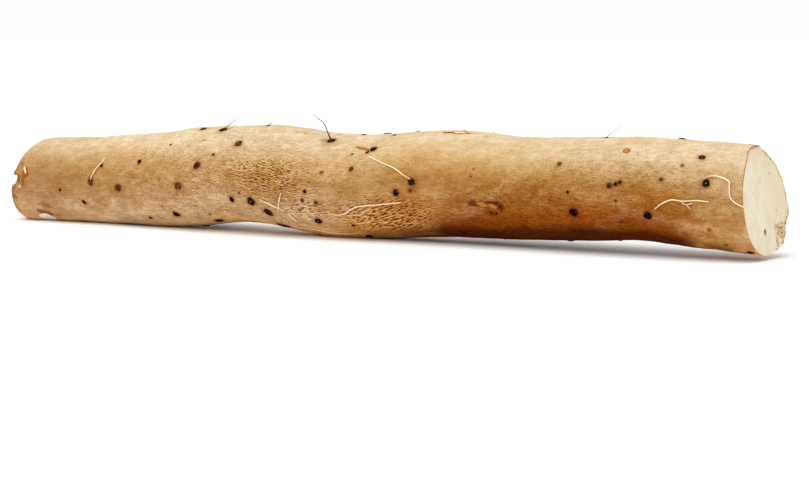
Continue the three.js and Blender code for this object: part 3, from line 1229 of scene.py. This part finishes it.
@dataclass
class RootScars:
    """All root scars: those of the front side, and others strewn over the back and the underside."""

    seed: int = 41
    strewn: int = 74
    tries_each: int = 40
    strewn_x: Pair = (-212, 219)
    strewn_turn: Pair = (96, 284)
    strewn_stretch: Pair = (0.8, 1.5)
    strewn_lean: Pair = (-40, 40)
    strewn_radii: tuple[float, ...] = (0.6, 0.8, 0.9, 1.3, 1.6, 1.8, 1.9)
    large_kinds: tuple[ScarKind, ...] = (CUP, WORN, KNOB, RING)
    small_kinds: tuple[ScarKind, ...] = (KNOB, HEALED, CUP)
    least_gap: float = 15.0
    segments: int = 22
    waves: int = 4
    unevenness: float = 0.045
    crest_waves: tuple[Pair, ...] = ((0.2, 3), (0.12, 7))
    full_radius: float = 1.6
    thickness: float = 0.85
    full_lift: float = 0.5
    skirt_ends: Pair = (0.8, 1.02)
    swelling: float = 0.14
    swell_reach: float = 2.0
    stain_reach: float = 1.45
    healed_ends: Pair = (0.35, 1.4)
    girth: float = 54.0

    def __post_init__(self) -> None:
        """Gathers the scars."""
        self.scars = [*(Scar(*row) for row in FRONT_SCARS), *self._strewn()]

    def _strewn(self) -> list[Scar]:
        """Scatters scars over the sides that the front list leaves bare, none too close to another.

        Returns:
            The scars.
        """
        dice = random.Random(self.seed)
        made: list[Scar] = []
        for _ in range(self.tries_each * self.strewn):
            x, turn = dice.uniform(*self.strewn_x), dice.uniform(*self.strewn_turn)
            gaps = (math.hypot(x - s.x, math.radians(turn - s.turn) * SKIN_RADIUS) for s in made)
            if all(gap > self.least_gap for gap in gaps):
                size = dice.choice(self.strewn_radii)
                kind = dice.choice(self.large_kinds if size > 1 else self.small_kinds)
                stretch, lean = dice.uniform(*self.strewn_stretch), dice.uniform(*self.strewn_lean)
                made.append(Scar(x, turn, size, kind, stretch, lean))
            if len(made) == self.strewn:
                break
        return made

    def heights(self, form: TuberForm) -> tuple[np.ndarray, np.ndarray]:
        """What the scars do to the skin round them.

        Args:
            form: The tuber.

        Returns:
            How much each grid point swells, and how dark it is stained.
        """
        swell = np.zeros(form.plain_x.shape)
        stain = np.zeros(form.plain_x.shape)
        for scar in self.scars:
            width = 2 * scar.radius
            away = form.away_from(Spot(scar.x, scar.turn, width * scar.stretch, width, scar.lean))
            swell += self.swelling * scar.radius * hump(away, 0, self.swell_reach)
            if scar.kind is HEALED:
                stain = np.maximum(stain, 1 - smooth_step(away, *self.healed_ends))
            else:
                stain = np.maximum(stain, hump(away, 0, self.stain_reach))
        return swell, stain

    def build(self, form: TuberForm) -> bpy.types.Object:
        """Builds the scars.

        Args:
            form: The tuber, with its relief.

        Returns:
            The piece.
        """
        draft = MeshDraft()
        dice = random.Random(self.seed + 1)
        for scar in self.scars:
            if scar.kind is not HEALED:
                self._add(draft, form.seat(scar.x, scar.turn), scar, dice)
        return draft.piece("root_scars", [ScarFinish().material()])

    def _add(self, draft: MeshDraft, seat: Seat, scar: Scar, dice: random.Random) -> None:
        """Adds one scar to a draft: a ring of points for each row of its profile, and one in its middle.

        Args:
            draft: The draft.
            seat: Where the scar sits.
            scar: The scar.
            dice: What its unevenness is drawn from.
        """
        phases = [dice.uniform(0, 2 * math.pi) for _ in range(self.waves)]
        tall = min(1.0, scar.radius / self.full_radius) * self.thickness
        faded = scar.kind is FADED
        profile = scar.kind.value
        points, lift, skirt, core_and_glint = [], [], [], []
        for share, height, pale in profile:
            for k in range(self.segments):
                angle = 2 * math.pi * k / self.segments
                wave = sum(math.sin((n + 2) * angle + phase) for n, phase in enumerate(phases))
                out = scar.radius * share * (1 + self.unevenness * wave * min(1, share + 0.2))
                bump = height * tall
                if height > 0:
                    waves = zip(self.crest_waves, phases)
                    bump *= 1 + sum(size * math.sin(n * angle + phase) for (size, n), phase in waves)
                u, v = out * scar.stretch * math.cos(angle), out * math.sin(angle)
                points.append(seat.over(u, v, scar.lean, bump, self.girth))
                lift.append(max(0.0, min(1.0, bump / self.full_lift)))
            skirt += [1.0 if faded else float(smooth_step(share, *self.skirt_ends))] * self.segments
            core_and_glint += [pale] * self.segments
        points.append(seat.point + seat.out * profile[-1][1] * tall)
        lift.append(0.5)
        skirt.append(float(faded))
        core_and_glint.append(profile[-1][2])
        last = len(points) - 1
        faces = shell(np.arange(last).reshape(-1, self.segments), None, last, True)
        draft.add(points, faces, lift=lift, skirt=skirt, core_and_glint=core_and_glint, fade=[scar.fade] * len(points))


@dataclass(frozen=True)
class Rootlet:
    """A thin root lying on the skin, through places given as (x, turn)."""

    places: tuple[Pair, ...]
    radius: float = 0.34
    lift: float = 0.3


@dataclass(frozen=True)
class Hair:
    """A stiff dark root standing off the skin, through offsets (x, y, z) from its foot."""

    x: float
    turn: float
    offsets: tuple[Triple, ...]
    radius: float = 0.3


@dataclass
class Rootlets:
    """The pale rootlets that lie on the skin, and the dark ones that stand off it."""

    seed: int = 7
    gap: float = 0.8
    taper: float = 0.42
    foot_depth: float = 0.4
    seat_share: float = 0.35
    swelling: float = 0.16
    swells: float = 9.0
    strewn: int = 9
    strewn_x: Pair = (-190, 195)
    strewn_turn: Pair = (105, 250)
    strewn_steps: tuple[int, int] = (3, 6)
    strewn_step: Pair = (5, 9)
    strewn_sway: float = 0.6
    strewn_radius: Pair = (0.24, 0.36)
    strewn_lift: Pair = (0.3, 0.5)
    straw: Colour = srgb(206, 172, 124)
    cream: Colour = srgb(236, 220, 186)
    peat: Colour = srgb(38, 24, 16)
    ash: Colour = srgb(120, 104, 92)
    pale: tuple[Rootlet, ...] = (
        Rootlet(((-158, 2), (-156.5, 9), (-154.5, 17), (-152, 24), (-151, 31)), 0.36, 0.5),
        Rootlet(((-40, -20), (-35, -23), (-30, -27), (-26.5, -30)), 0.38, 0.5),
        Rootlet(((-25.5, -9), (-26.5, -15), (-28, -22), (-30.5, -33)), 0.36, 1.0),
        Rootlet(((-24.5, -31), (-23, -37), (-22, -45)), 0.46, 0.6),
        Rootlet(((0, -29), (6, -29), (10, -27), (15, -21), (20, -18), (31, -17), (43, -16)), 0.38, 0.45),
        Rootlet(((50, 8), (46, 12), (40, 19.5), (31, 27), (22, 36)), 0.36, 0.4),
        Rootlet(((182, -15), (186, -8), (191, -3), (196, -3), (203, -1), (209, -1)), 0.36, 0.5),
        Rootlet(((195, -3.5), (198, -6), (201, -4)), 0.26, 0.4),
        Rootlet(((198, -6), (200, -10)), 0.22, 0.3),
        Rootlet((
            (206, 22), (210, 25), (214, 24), (218, 20.5), (218.5, 14), (219.5, 5), (222.5, 0), (226, -3),
        ), 0.4, 0.6),
        Rootlet(((-30, -62), (-21, -60), (-12, -60), (-3, -64), (8, -66)), 0.3, 0.3),
    )
    dark: tuple[Hair, ...] = (
        Hair(-77, 69, ((1.5, 0.6, 1.4), (3.8, 1.8, 3.2), (6.4, 3.0, 5.2), (8.8, 4.2, 7.2)), 0.32),
        Hair(-6, 64, (
            (-1.0, 0, 1.6), (-2.8, 0, 5.2), (-5.0, 0, 9.0), (-9.5, 0.4, 11.6), (-11.4, 0.6, 13.8),
        ), 0.46),
        Hair(148, 72, ((1.2, 0.4, 1.4), (4.2, 1.8, 3.6), (7.4, 3.2, 6.6)), 0.2),
        Hair(-52, 86, ((1.2, 0.6, 1.0), (3.2, 1.8, 2.6), (5.0, 3.0, 4.6)), 0.2),
    )

    def build(self, form: TuberForm) -> list[bpy.types.Object]:
        """Builds both kinds.

        Args:
            form: The tuber, with its relief.

        Returns:
            The two pieces.
        """
        lying, standing = MeshDraft(), MeshDraft()
        for rootlet in (*self.pale, *self._strewn()):
            self._lay(lying, form, rootlet)
        for hair in self.dark:
            offsets = np.array([(0, 0, -self.foot_depth), *hair.offsets], float)
            path = curve_through(form.seat(hair.x, hair.turn).point + offsets, self.gap)
            tube(standing, path, hair.radius * np.linspace(1, self.taper, len(path)), 6)
        pale = lying.piece("rootlets", [RootletFinish("pale_rootlet", self.straw, self.cream).material()])
        dark = standing.piece("root_hairs", [RootletFinish("dark_rootlet", self.peat, self.ash).material()])
        return [pale, dark]

    def _strewn(self) -> list[Rootlet]:
        """Scatters more rootlets over the back.

        Returns:
            The rootlets.
        """
        dice = random.Random(self.seed)
        made = []
        for _ in range(self.strewn):
            x, turn = dice.uniform(*self.strewn_x), dice.uniform(*self.strewn_turn)
            way, steps = dice.uniform(0, 2 * math.pi), dice.randint(*self.strewn_steps)
            places = [(x, turn)]
            for _ in range(steps):
                way += dice.uniform(-self.strewn_sway, self.strewn_sway)
                x += self.strewn_step[0] * math.cos(way)
                turn += self.strewn_step[1] * math.sin(way)
                places.append((x, turn))
            radius, lift = dice.uniform(*self.strewn_radius), dice.uniform(*self.strewn_lift)
            made.append(Rootlet(tuple(places), radius, lift))
        return made

    def _lay(self, draft: MeshDraft, form: TuberForm, rootlet: Rootlet) -> None:
        """Lays one rootlet on the skin, arched a little between its ends.

        Args:
            draft: The draft to add it to.
            form: The tuber.
            rootlet: The rootlet.
        """
        flat = np.array([(x, math.radians(turn) * SKIN_RADIUS) for x, turn in rootlet.places])
        line = curve_through(flat, self.gap)
        share = np.linspace(0, 1, len(line))
        arch = rootlet.lift * np.sin(math.pi * share) ** 0.5
        path = []
        for (x, v), rise in zip(line, arch):
            seat = form.seat(x, math.degrees(v / SKIN_RADIUS))
            path.append(seat.point + seat.out * (self.seat_share * rootlet.radius + rise))
        wave = 1 + self.swelling * np.sin(self.swells * share + rootlet.places[0][0])
        tube(draft, np.array(path), rootlet.radius * (1 - self.taper * share) * wave)


@dataclass(frozen=True)
class Flake:
    """A curl of loose skin."""

    spot: Spot
    curl: float = 0.8
    paleness: float = 1.0


@dataclass
class Flakes:
    """Loose bits of skin: at the wound in the tip, and where the skin peeled on top and in front."""

    seed: int = 19
    thickness: float = 0.16
    rise: float = 0.12
    steps: int = 10
    flakes: tuple[Flake, ...] = (
        Flake(Spot(-206.4, 14.6, 5.2, 2.4, -56), 1.0, 1.6),
        Flake(Spot(-211.4, 0.5, 5.0, 1.0, -78), 0.6, 0.8),
        Flake(Spot(-211, -7.8, 1.8, 1.4, 20), 0.4, 1.1),
        Flake(Spot(63.5, 79, 9.5, 2.6, 0), 0.7, 0.9),
        Flake(Spot(57, 77, 4.4, 1.1, 6), 0.4, 0.3),
        Flake(Spot(164.5, 44, 2.8, 1.3, 50), 0.7, 0.7),
        Flake(Spot(88.4, -14.9, 7.2, 3.4, -8), 0.3, 0.52),
        Flake(Spot(94.2, -16.4, 7.4, 2.8, -14), 0.35, 0.42),
        Flake(Spot(17, 47, 7.5, 0.6, -12), 0.25, 0.6),
    )

    def build(self, form: TuberForm) -> bpy.types.Object:
        """Builds the flakes.

        Args:
            form: The tuber, with its relief.

        Returns:
            The piece.
        """
        draft = MeshDraft()
        dice = random.Random(self.seed)
        for flake in self.flakes:
            self._add(draft, form.seat(flake.spot.x, flake.spot.turn), flake, dice.uniform(0, 6))
        return draft.piece("skin_flakes", [FlakeFinish().material()])

    def _add(self, draft: MeshDraft, seat: Seat, flake: Flake, phase: float) -> None:
        """Adds one flake: a thin leaf whose far edge curls up.

        Args:
            draft: The draft.
            seat: Where the flake sits.
            flake: The flake.
            phase: Where the waves of its ragged edge start.
        """
        n = self.steps
        spot = flake.spot
        points, paleness = [], []
        for side, i, j in itertools.product((1, -1), range(n + 1), range(n + 1)):
            a, b = 2 * i / n - 1, 2 * j / n - 1
            edge = 1 + 0.14 * math.sin(5 * a + phase) + 0.1 * math.sin(7 * b + 2 * phase)
            ragged = 1 + 0.16 * math.sin(9 * a + 3 * phase) + 0.1 * math.sin(17 * a + phase)
            u = a * spot.length / 2 * edge * math.sqrt(1 - 0.45 * b * b)
            v = b * spot.height / 2 * edge * ragged * math.sqrt(1 - 0.8 * a * a)
            rise = self.rise + flake.curl * max(0.0, b * 0.6 + 0.3) ** 2 + side * self.thickness / 2
            points.append(seat.over(u, v, spot.lean, rise, 2 * SKIN_RADIUS))
            paleness.append(flake.paleness * (1 - 0.7 * max(abs(a), abs(b)) ** 4))
        row = n + 1
        half = row * row
        faces = []
        for i, j in itertools.product(range(n), range(n)):
            start = i * row + j
            under = half + start
            faces.append((start, start + row, start + row + 1, start + 1))
            faces.append((under, under + 1, under + row + 1, under + row))
        for k in range(n):
            sides = ((k, k + 1), (n * row + k + 1, n * row + k), ((k + 1) * row, k * row))
            for a, b in (*sides, (k * row + n, (k + 1) * row + n)):
                faces.append((a, b, half + b, half + a))
        draft.add(points, faces, paleness=paleness)


# ----- The tuber -----


@dataclass
class Tuber:
    """The tuber itself: skin with its relief, and the flesh of the cut.

    Lumps are (height, size, layers). What stands round the wound is (how far up it is, its height, how far
    across it is, its width, its strength).
    """

    seed: int = 3
    cut_rings: int = 30
    ring_crowding: float = 1.3
    lumps: tuple[tuple[float, Triple, int], ...] = (
        (0.45, (42.0, 26.0, 26.0), 1),
        (0.30, (17.0, 12.0, 12.0), 2),
        (0.10, (6.0, 3.6, 3.6), 2),
    )
    net: tuple[Spot, ...] = spots(
        (-34, 5, 54, 25, 0, 1.35), (-11, -23, 36, 16, 0, 1.25), (32, -33, 50, 23, 0, 1.85),
        (46, -12, 26, 9, 0, 0.6), (-72, -8, 60, 30, 0, 0.6), (110, 128, 70, 26), (-90, 236, 64, 24),
    )
    # Golden skin. Spots that reach low on the front and underside take the golden ramp's dark foot there,
    # which is painted shade.
    gold: tuple[Spot, ...] = spots(
        (-34, 5, 46, 20, 0, 0.53), (124, -30, 100, 42), (114, -58, 110, 40), (118, -74, 142, 40, 0, 1.3),
        (80, -64, 56, 28, 0, 1.15), (73, -45, 46, 22, 0, 0.64), (172, -61, 50, 32, 0, 1.15),
        (88, 14, 100, 26, 0, 0.38), (180, -6, 47, 19, 0, 0.85), (196, -18, 30, 12, 0, 0.35),
        (120, 205, 150, 60, 0, 0.85), (-120, 225, 110, 36, 0, 0.85),
    )
    # Painted orange bounce light and shade, mostly low on the front and on the underside.
    painted_amber_bounce: tuple[Spot, ...] = spots(
        (46, -54, 80, 38, 0, 1.15), (40, -78, 96, 30), (-34, 4, 44, 18, 0, 0.18), (70, 12, 76, 24, 0, 0.35),
        (0, -82, 60, 24, 0, 0.8), (200, -60, 46, 34, 0, 0.75),
    )
    sallow: tuple[Spot, ...] = spots(
        (-190, 26, 80, 24, 0, 0.8), (-140, 25, 100, 24, 0, 0.9), (68, 22, 180, 34),
        (211, -40, 44, 46, 0, 0.9), (-60, 170, 120, 40),
    )
    smoothest: float = 0.5
    top_calm: float = 0.3
    top_starts: Pair = (0.6, 0.9)
    coarse: tuple[Spot, ...] = spots(
        (-56, -5, 150, 90, 0, 0.56), (-130, -20, 80, 70, 0, 0.2), (114, -44, 124, 42, 0, 1.4),
        (168, -4, 100, 46, 0, 0.5), (0, 180, 260, 90, 0, 0.4),
    )
    chips: tuple[Spot, ...] = spots((-199, -57, 9.5, 7.0, -14), (-211.2, -7.6, 1.8, 2.2))
    chip_depth: float = 0.5
    cork_depth: float = 0.12
    # Brown edges of peeled skin. The first spot, along the upper edge of the raw chip, is partly the torn
    # edge and partly painted shadow of that step.
    cork: tuple[Spot, ...] = spots(
        (-196.5, -46.0, 12.5, 3.2, -20), (-208.0, 0.5, 2.8, 6.5, 10), (-206.0, 8.0, 5.4, 3.6, -40),
        (-206.6, 13.5, 4.6, 3.0, -48, 0.8), (-194, -33, 10, 4, -10, 0.5), (64, 78, 13, 4, 0, 0.8),
        (17, 48, 11, 1.8, -22, 0.9), (164.5, 44, 4, 3, 0, 0.9), (-28, 76, 12, 3, 0, 0.4),
        (222, 84, 10, 5, 0, 0.6),
    )
    # Brown stains at the wound and the peels, and painted shade: the broad spots that darken the tip end,
    # and the strip low on the front at x 137.
    browned_and_painted_shade: tuple[Spot, ...] = spots(
        (-222, -16, 16, 36, 0, 0.55), (-217.5, -14, 9, 9, 0, 0.4), (-217, -25.5, 8, 1.6, 0, 0.8),
        (-211, 23.7, 3.0, 1.4, 20, 0.9), (-213, 14, 8, 5, 0, 0.25), (-196, -36, 12, 6, -20, 0.25),
        (-202, 10, 56, 26, 0, 0.28), (-200, -32, 60, 26, 0, 0.26), (-198, 62, 54, 50, 0, 0.12),
        (-218, -52, 26, 20, 0, 0.3), (-212, -72, 50, 26, 0, 0.4), (-200, -4, 60, 34, 0, 0.12),
        (-160, 0, 70, 40, 0, 0.12), (95.5, -12.4, 10, 2.2, -6), (98.6, -17.5, 3, 3, 0, 0.9),
        (-8, 64, 8, 6, 0, 0.5), (83.0, -15.2, 7.0, 3.6, 0, 0.85), (137, -46, 38, 9, 0, 0.36),
        (70, -37, 34, 8, 0, 0.3), (197, -36, 20, 6, 0, 0.25), (93.0, -13.6, 16, 4.4, 0, 0.5),
        (93.5, -24, 10, 4, 0, 0.4), (51, -2, 6, 3, 0, 0.4), (222, 86, 7, 4, 0, 0.5),
    )
    # Pale patches of skin. The long low spot on the left part's underside is painted light.
    bleached_and_painted_light: tuple[Spot, ...] = spots(
        (-146, -62, 120, 18, 0, 0.7), (-175, 51, 8, 5, 0, 0.6), (-155, 43, 8, 3, 0, 0.6),
        (-136, 34, 5, 3, 0, 0.4), (-141, 56, 9, 4, 0, 0.4), (-104, 47, 9, 4, 0, 0.6),
        (-93, 33, 5, 3.5, 0, 0.7), (-75, 34, 8, 4, 0, 0.5), (-22, 29, 5, 3, 0, 0.5), (-4, 20, 7, 4, 0, 0.5),
        (208, 38, 44, 22, 0, 0.2), (216, 12, 32, 24, 0, 0.3), (-6, -7, 34, 18, 0, 0.4),
    )
    swellings: tuple[Spot, ...] = spots((-217, -62, 26, 22, 0, 1.3), (-213, 46, 28, 26, 0, -0.9))
    wound: Triple = (-220.0, -13.0, 24.0)
    wound_out: Triple = (-0.74, -0.66, 0.06)
    wound_across: Triple = (0.66, -0.74, 0.0)
    wound_tilt: float = 0.075
    wound_reach: float = 9.0
    wound_depth: float = 3.4
    wound_top: Pair = (0.15, 1.3)
    wound_bottom: float = 4.4
    wound_start: Pair = (-11.0, -6.0)
    wound_end: Pair = (3.0, 13.0)
    wound_lip: tuple[float, ...] = (2.2, 1.3, 0, 5, 0.9)
    wound_hollow: tuple[float, ...] = (7.0, 3.0, 0, 6, 0.5)
    wound_tissue: tuple[float, ...] = (-5, 4, 1, 5, 0.4)
    grain_height: float = 0.10
    drag_height: float = 0.12
    snap_height: float = 1.1
    snap_side: Pair = (9.0, 12.0)
    snap_top: Pair = (14.0, 19.0)
    rough_side: Pair = (0.0, 12.0)
    rough_rim: Pair = (1.5, 4.5)
    bend_reach: float = 3.5
    lip_reach: float = 0.5
    least_husk: float = 0.05

    def build(self, form: TuberForm, scars: RootScars) -> bpy.types.Object:
        """Builds the tuber's piece.

        Args:
            form: The tuber's smooth outside. It gets its relief here.
            scars: The root scars, which swell and stain the skin.

        Returns:
            The piece.
        """
        swell, stain = scars.heights(form)
        places = form.points
        relief = sum(
            size * layered_noise(places, scale, layers, self.seed + 10 * k)
            for k, (size, scale, layers) in enumerate(self.lumps)
        )
        edge = layered_noise(places, (2.4, 2.0, 2.0), 2, self.seed + 50)
        numbers = {"rise": self._rise(form)}
        for name, marks, wander, blur in (
            ("coarse", self.coarse, 0, 0.6),
            ("net", self.net, 0, 0.9),
            ("gold", self.gold, 0, 0.9),
            ("sallow", self.sallow, 0, 0.9),
            ("painted_amber_bounce", self.painted_amber_bounce, 0, 0.9),
            ("bleach_and_painted_light", self.bleached_and_painted_light, 0.3, 0.8),
            ("stain", self.browned_and_painted_shade, 0.3, 0.5),
            ("raw", self.chips, 0.25, 0.16),
            ("cork", self.cork, 0.3, 0.5),
        ):
            numbers[name] = self._zone(form, marks, wander * edge, blur)
        calm = 1 - self.top_calm * smooth_step(numbers["rise"], *self.top_starts)
        numbers["coarse"] = (self.smoothest + numbers["coarse"]) * calm
        numbers["stain"] = np.maximum(stain, numbers["stain"])
        relief += swell - self.chip_depth * numbers["raw"] - self.cork_depth * numbers["cork"]
        for spot in self.swellings:
            relief += spot.strength * hump(form.away_from(spot), 0, 1)
        form.raise_skin(relief)
        numbers["torn"] = self._tear(form, edge)
        draft = MeshDraft()
        self._add_skin(draft, form, numbers)
        skin_faces = len(draft.faces)
        self._add_cut(draft, form, list(numbers))
        made = draft.piece("tuber_flesh_and_skin", [SkinFinish().material(), FleshFinish().material()])
        slots = np.zeros(len(draft.faces), np.int32)
        slots[skin_faces:] = 1
        made.data.polygons.foreach_set("material_index", slots)
        rings, columns = form.plain_x.shape
        self._sharpen_rim(made.data, (rings - 1) * columns, columns)
        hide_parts(CAD_NODE)
        return made

    @staticmethod
    def _rise(form: TuberForm) -> np.ndarray:
        """Finds how far up its section each grid point is. The tip counts by the first full section.

        Args:
            form: The tuber.

        Returns:
            0 at the section's foot and 1 at its top.
        """
        heights = form.points[..., 2]
        first = form.tip_rings
        low, high = heights.min(1), heights.max(1)
        low[:first], high[:first] = low[first], high[first]
        return (heights - low[:, None]) / (high - low)[:, None]

    @staticmethod
    def _zone(form: TuberForm, marks: Sequence[Spot], wander: np.ndarray, blur: float) -> np.ndarray:
        """How strongly each grid point belongs to a set of spots.

        Args:
            form: The tuber.
            marks: The spots, each with its strength.
            wander: Noise that makes their outlines wander.
            blur: How softly they end, as a share of their size.

        Returns:
            One number per grid point: that of the strongest spot there.
        """
        total = np.zeros(form.plain_x.shape)
        for spot in marks:
            away = form.away_from(spot) + wander
            total = np.maximum(total, spot.strength * (1 - smooth_step(away, 1 - blur, 1 + blur)))
        return total

    def _tear(self, form: TuberForm, edge: np.ndarray) -> np.ndarray:
        """Tears the old wound into the tip: a notch with a sharp upper lip, and rough tissue round it.

        Args:
            form: The tuber, with the rest of its relief.
            edge: Noise for the torn outline.

        Returns:
            How torn each grid point is.
        """
        offset = form.points - np.array(self.wound)
        side = offset @ unit(np.array(self.wound_across))
        rise = offset[..., 2] - self.wound_tilt * side
        near = np.abs(offset @ unit(np.array(self.wound_out))) < self.wound_reach
        over = 1 - smooth_step(rise, *self.wound_top)
        under = np.clip(1 + rise / self.wound_bottom, 0, 1)
        reach = smooth_step(side, *self.wound_start) * (1 - smooth_step(side, *self.wound_end))
        notch = np.where(rise > 0, over, under) * reach * near
        marks = (self.wound_lip, self.wound_hollow, self.wound_tissue)
        lip, hollow, tissue = (
            strength * hump(rise, up, height) * hump(side, across, width) * near
            for up, height, across, width, strength in marks
        )
        ragged = 0.35 * layered_noise(form.points, (1.4, 1.4, 2.4), 2, self.seed + 70)
        torn = notch + tissue
        form.raise_skin(lip - hollow + ragged * torn - self.wound_depth * notch * (1 + 0.15 * edge))
        return np.clip(torn, 0, 1)

    @staticmethod
    def _add_skin(draft: MeshDraft, form: TuberForm, numbers: dict[str, np.ndarray]) -> None:
        """Adds the skin to a draft.

        Args:
            draft: The empty draft.
            form: The tuber, with its relief.
            numbers: What each grid point stores.
        """
        rings, columns = form.plain_x.shape
        apex = rings * columns
        points = np.vstack([form.points.reshape(-1, 3), form.points[0].mean(0)])
        stored = {name: [*grid.ravel(), grid[0].mean()] for name, grid in numbers.items()}
        stored |= {name: [0.0] * len(points) for name in ("inset", "crumb", "husk_and_painted_shadow")}
        draft.add(points, shell(np.arange(apex).reshape(rings, columns), apex, None), **stored)

    def _add_cut(self, draft: MeshDraft, form: TuberForm, names: Sequence[str]) -> None:
        """Adds the cut's face: rings that shrink from the skin's rim, marked by the knife and the snap.

        Args:
            draft: The draft, which ends with the skin.
            form: The tuber.
            names: The skin's stored numbers, which are 0 here.
        """
        rim = form.points[-1]
        columns = len(rim)
        shares = 1 - (np.arange(self.cut_rings) / self.cut_rings) ** self.ring_crowding
        flat = rim.mean(0) + (rim - rim.mean(0)) * shares[:, None, None]
        y, z = flat[..., 1], flat[..., 2]
        flat[..., 0] = form.cut.x_at(y, z)
        inset = np.linalg.norm((rim - flat)[..., 1:], axis=-1)
        grain = layered_noise(flat, (1.4, 1.4, 1.4), 2, self.seed + 80)
        drag = layered_noise(flat, (30.0, 3.0, 14.0), 1, self.seed + 90)
        lumps = layered_noise(flat, (2.2, 2.2, 2.2), 2, self.seed + 95)
        snapped = smooth_step(y, *self.snap_side) * (1 - smooth_step(z, *self.snap_top))
        edge = smooth_step(y, *self.rough_side) * (1 - smooth_step(inset, *self.rough_rim))
        crumb = np.clip(np.maximum(snapped, 0.7 * edge) * (0.7 + 0.8 * lumps), 0, 1)
        # Width of the brown rim line, which is partly skin edge and partly painted shadow under the lip.
        husk_and_shadow_width = np.interp(form.turns, *zip(*form.husk_and_shadow_widths))
        husk_and_painted_shadow = hump(inset, 0, np.maximum(husk_and_shadow_width, self.least_husk)) * (husk_and_shadow_width > self.least_husk)
        relief = self.grain_height * grain + self.drag_height * drag
        relief += self.snap_height * lumps * np.maximum(snapped, 0.4 * edge) * smooth_step(inset, 0.0, 1.0)
        relief += form.bend * np.exp(-inset / self.bend_reach) + form.lip * hump(inset, 0, self.lip_reach)
        flat[..., 0] += relief

        points = np.vstack([flat[1:].reshape(-1, 3), flat[-1].mean(0)])
        last = len(points) - 1
        index = np.vstack([np.arange(-1 - columns, -1), np.arange(last).reshape(-1, columns)])
        fields = {"inset": inset, "crumb": crumb, "husk_and_painted_shadow": husk_and_painted_shadow}
        numbers = {name: [0.0] * len(points) for name in names}
        numbers |= {name: [*grid[1:].ravel(), grid[-1].mean()] for name, grid in fields.items()}
        first = len(draft.points) - 1 - columns
        draft.add(points, shell(index, None, last), **numbers)
        for name, grid in fields.items():
            draft.numbers[name][first:first + columns] = grid[0].tolist()

    @staticmethod
    def _sharpen_rim(mesh: bpy.types.Mesh, first: int, count: int) -> None:
        """Marks the edge between the skin and the cut as sharp.

        Args:
            mesh: The tuber's mesh.
            first: The rim's first point.
            count: How many points the rim has.
        """
        rim = range(first, first + count)
        for edge in mesh.edges:
            if edge.vertices[0] in rim and edge.vertices[1] in rim:
                edge.use_edge_sharp = True


# ----- The studio -----


@dataclass
class Studio:
    """A plain pale table, soft light from above and in front, and the camera.

    The camera's place is in millimetres. The floor and the lamp are in metres, and turns are in degrees.
    """

    lens: float = 100.0
    sensor: float = 36.0
    camera_reach: float = 200.0
    camera_place: Triple = (633.05, -965.62, 105.4)
    camera_pitch: float = -5.57
    camera_heading: float = 32.0
    floor_size: float = 60.0
    sky_strength: float = 1.0
    lamp_strength: float = 2.3
    lamp_softness: float = 75.0
    lamp_tilt: Triple = (24.0, -12.0, 0.0)
    lamp_place: Triple = (0.0, -0.5, 1.5)

    def build(self) -> None:
        """Builds the table, the lights and the camera."""
        self._add_camera()
        self._add_floor()
        self._add_light()
        bpy.context.scene.view_settings.view_transform = "Standard"

    def _add_camera(self) -> None:
        """Adds the camera."""
        data = bpy.data.cameras.new("camera")
        data.lens = self.lens
        data.sensor_width = self.sensor
        data.clip_end = self.camera_reach
        camera = bpy.data.objects.new("camera", data)
        camera.location = [part * MM for part in self.camera_place]
        camera.rotation_euler = (math.radians(90 + self.camera_pitch), 0, math.radians(self.camera_heading))
        bpy.context.scene.collection.objects.link(camera)
        bpy.context.scene.camera = camera

    def _add_floor(self) -> None:
        """Adds the table top, a wide flat square."""
        half = self.floor_size / 2
        mesh = bpy.data.meshes.new("table_top")
        corners = [(-half, -half, 0), (half, -half, 0), (half, half, 0), (-half, half, 0)]
        mesh.from_pydata(corners, [], [(0, 1, 2, 3)])
        mesh.materials.append(FloorFinish().material())
        floor = bpy.data.objects.new("table_top", mesh)
        bpy.context.scene.collection.objects.link(floor)

    def _add_light(self) -> None:
        """Adds an even white surround and one wide soft lamp."""
        world = bpy.data.worlds.new("surround")
        world.use_nodes = True
        background = world.node_tree.nodes["Background"]
        background.inputs["Color"].default_value = (1, 1, 1, 1)
        background.inputs["Strength"].default_value = self.sky_strength
        bpy.context.scene.world = world
        lamp = bpy.data.lights.new("soft_lamp", "SUN")
        lamp.energy = self.lamp_strength
        lamp.angle = math.radians(self.lamp_softness)
        holder = bpy.data.objects.new("soft_lamp", lamp)
        holder.rotation_euler = [math.radians(part) for part in self.lamp_tilt]
        holder.location = self.lamp_place
        bpy.context.scene.collection.objects.link(holder)


def main() -> None:
    """Builds the yam and its studio, piece by piece."""
    logging.basicConfig(level=logging.INFO, format="%(message)s")
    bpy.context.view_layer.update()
    Studio().build()
    form = TuberForm().read(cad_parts[CAD_NODE])
    scars = RootScars()
    pieces = [Tuber().build(form, scars), scars.build(form), *Rootlets().build(form), Flakes().build(form)]
    for piece in pieces:
        LOG.info("%s: %d faces", piece.name, len(piece.data.polygons))


if __name__ == "__main__":
    main()
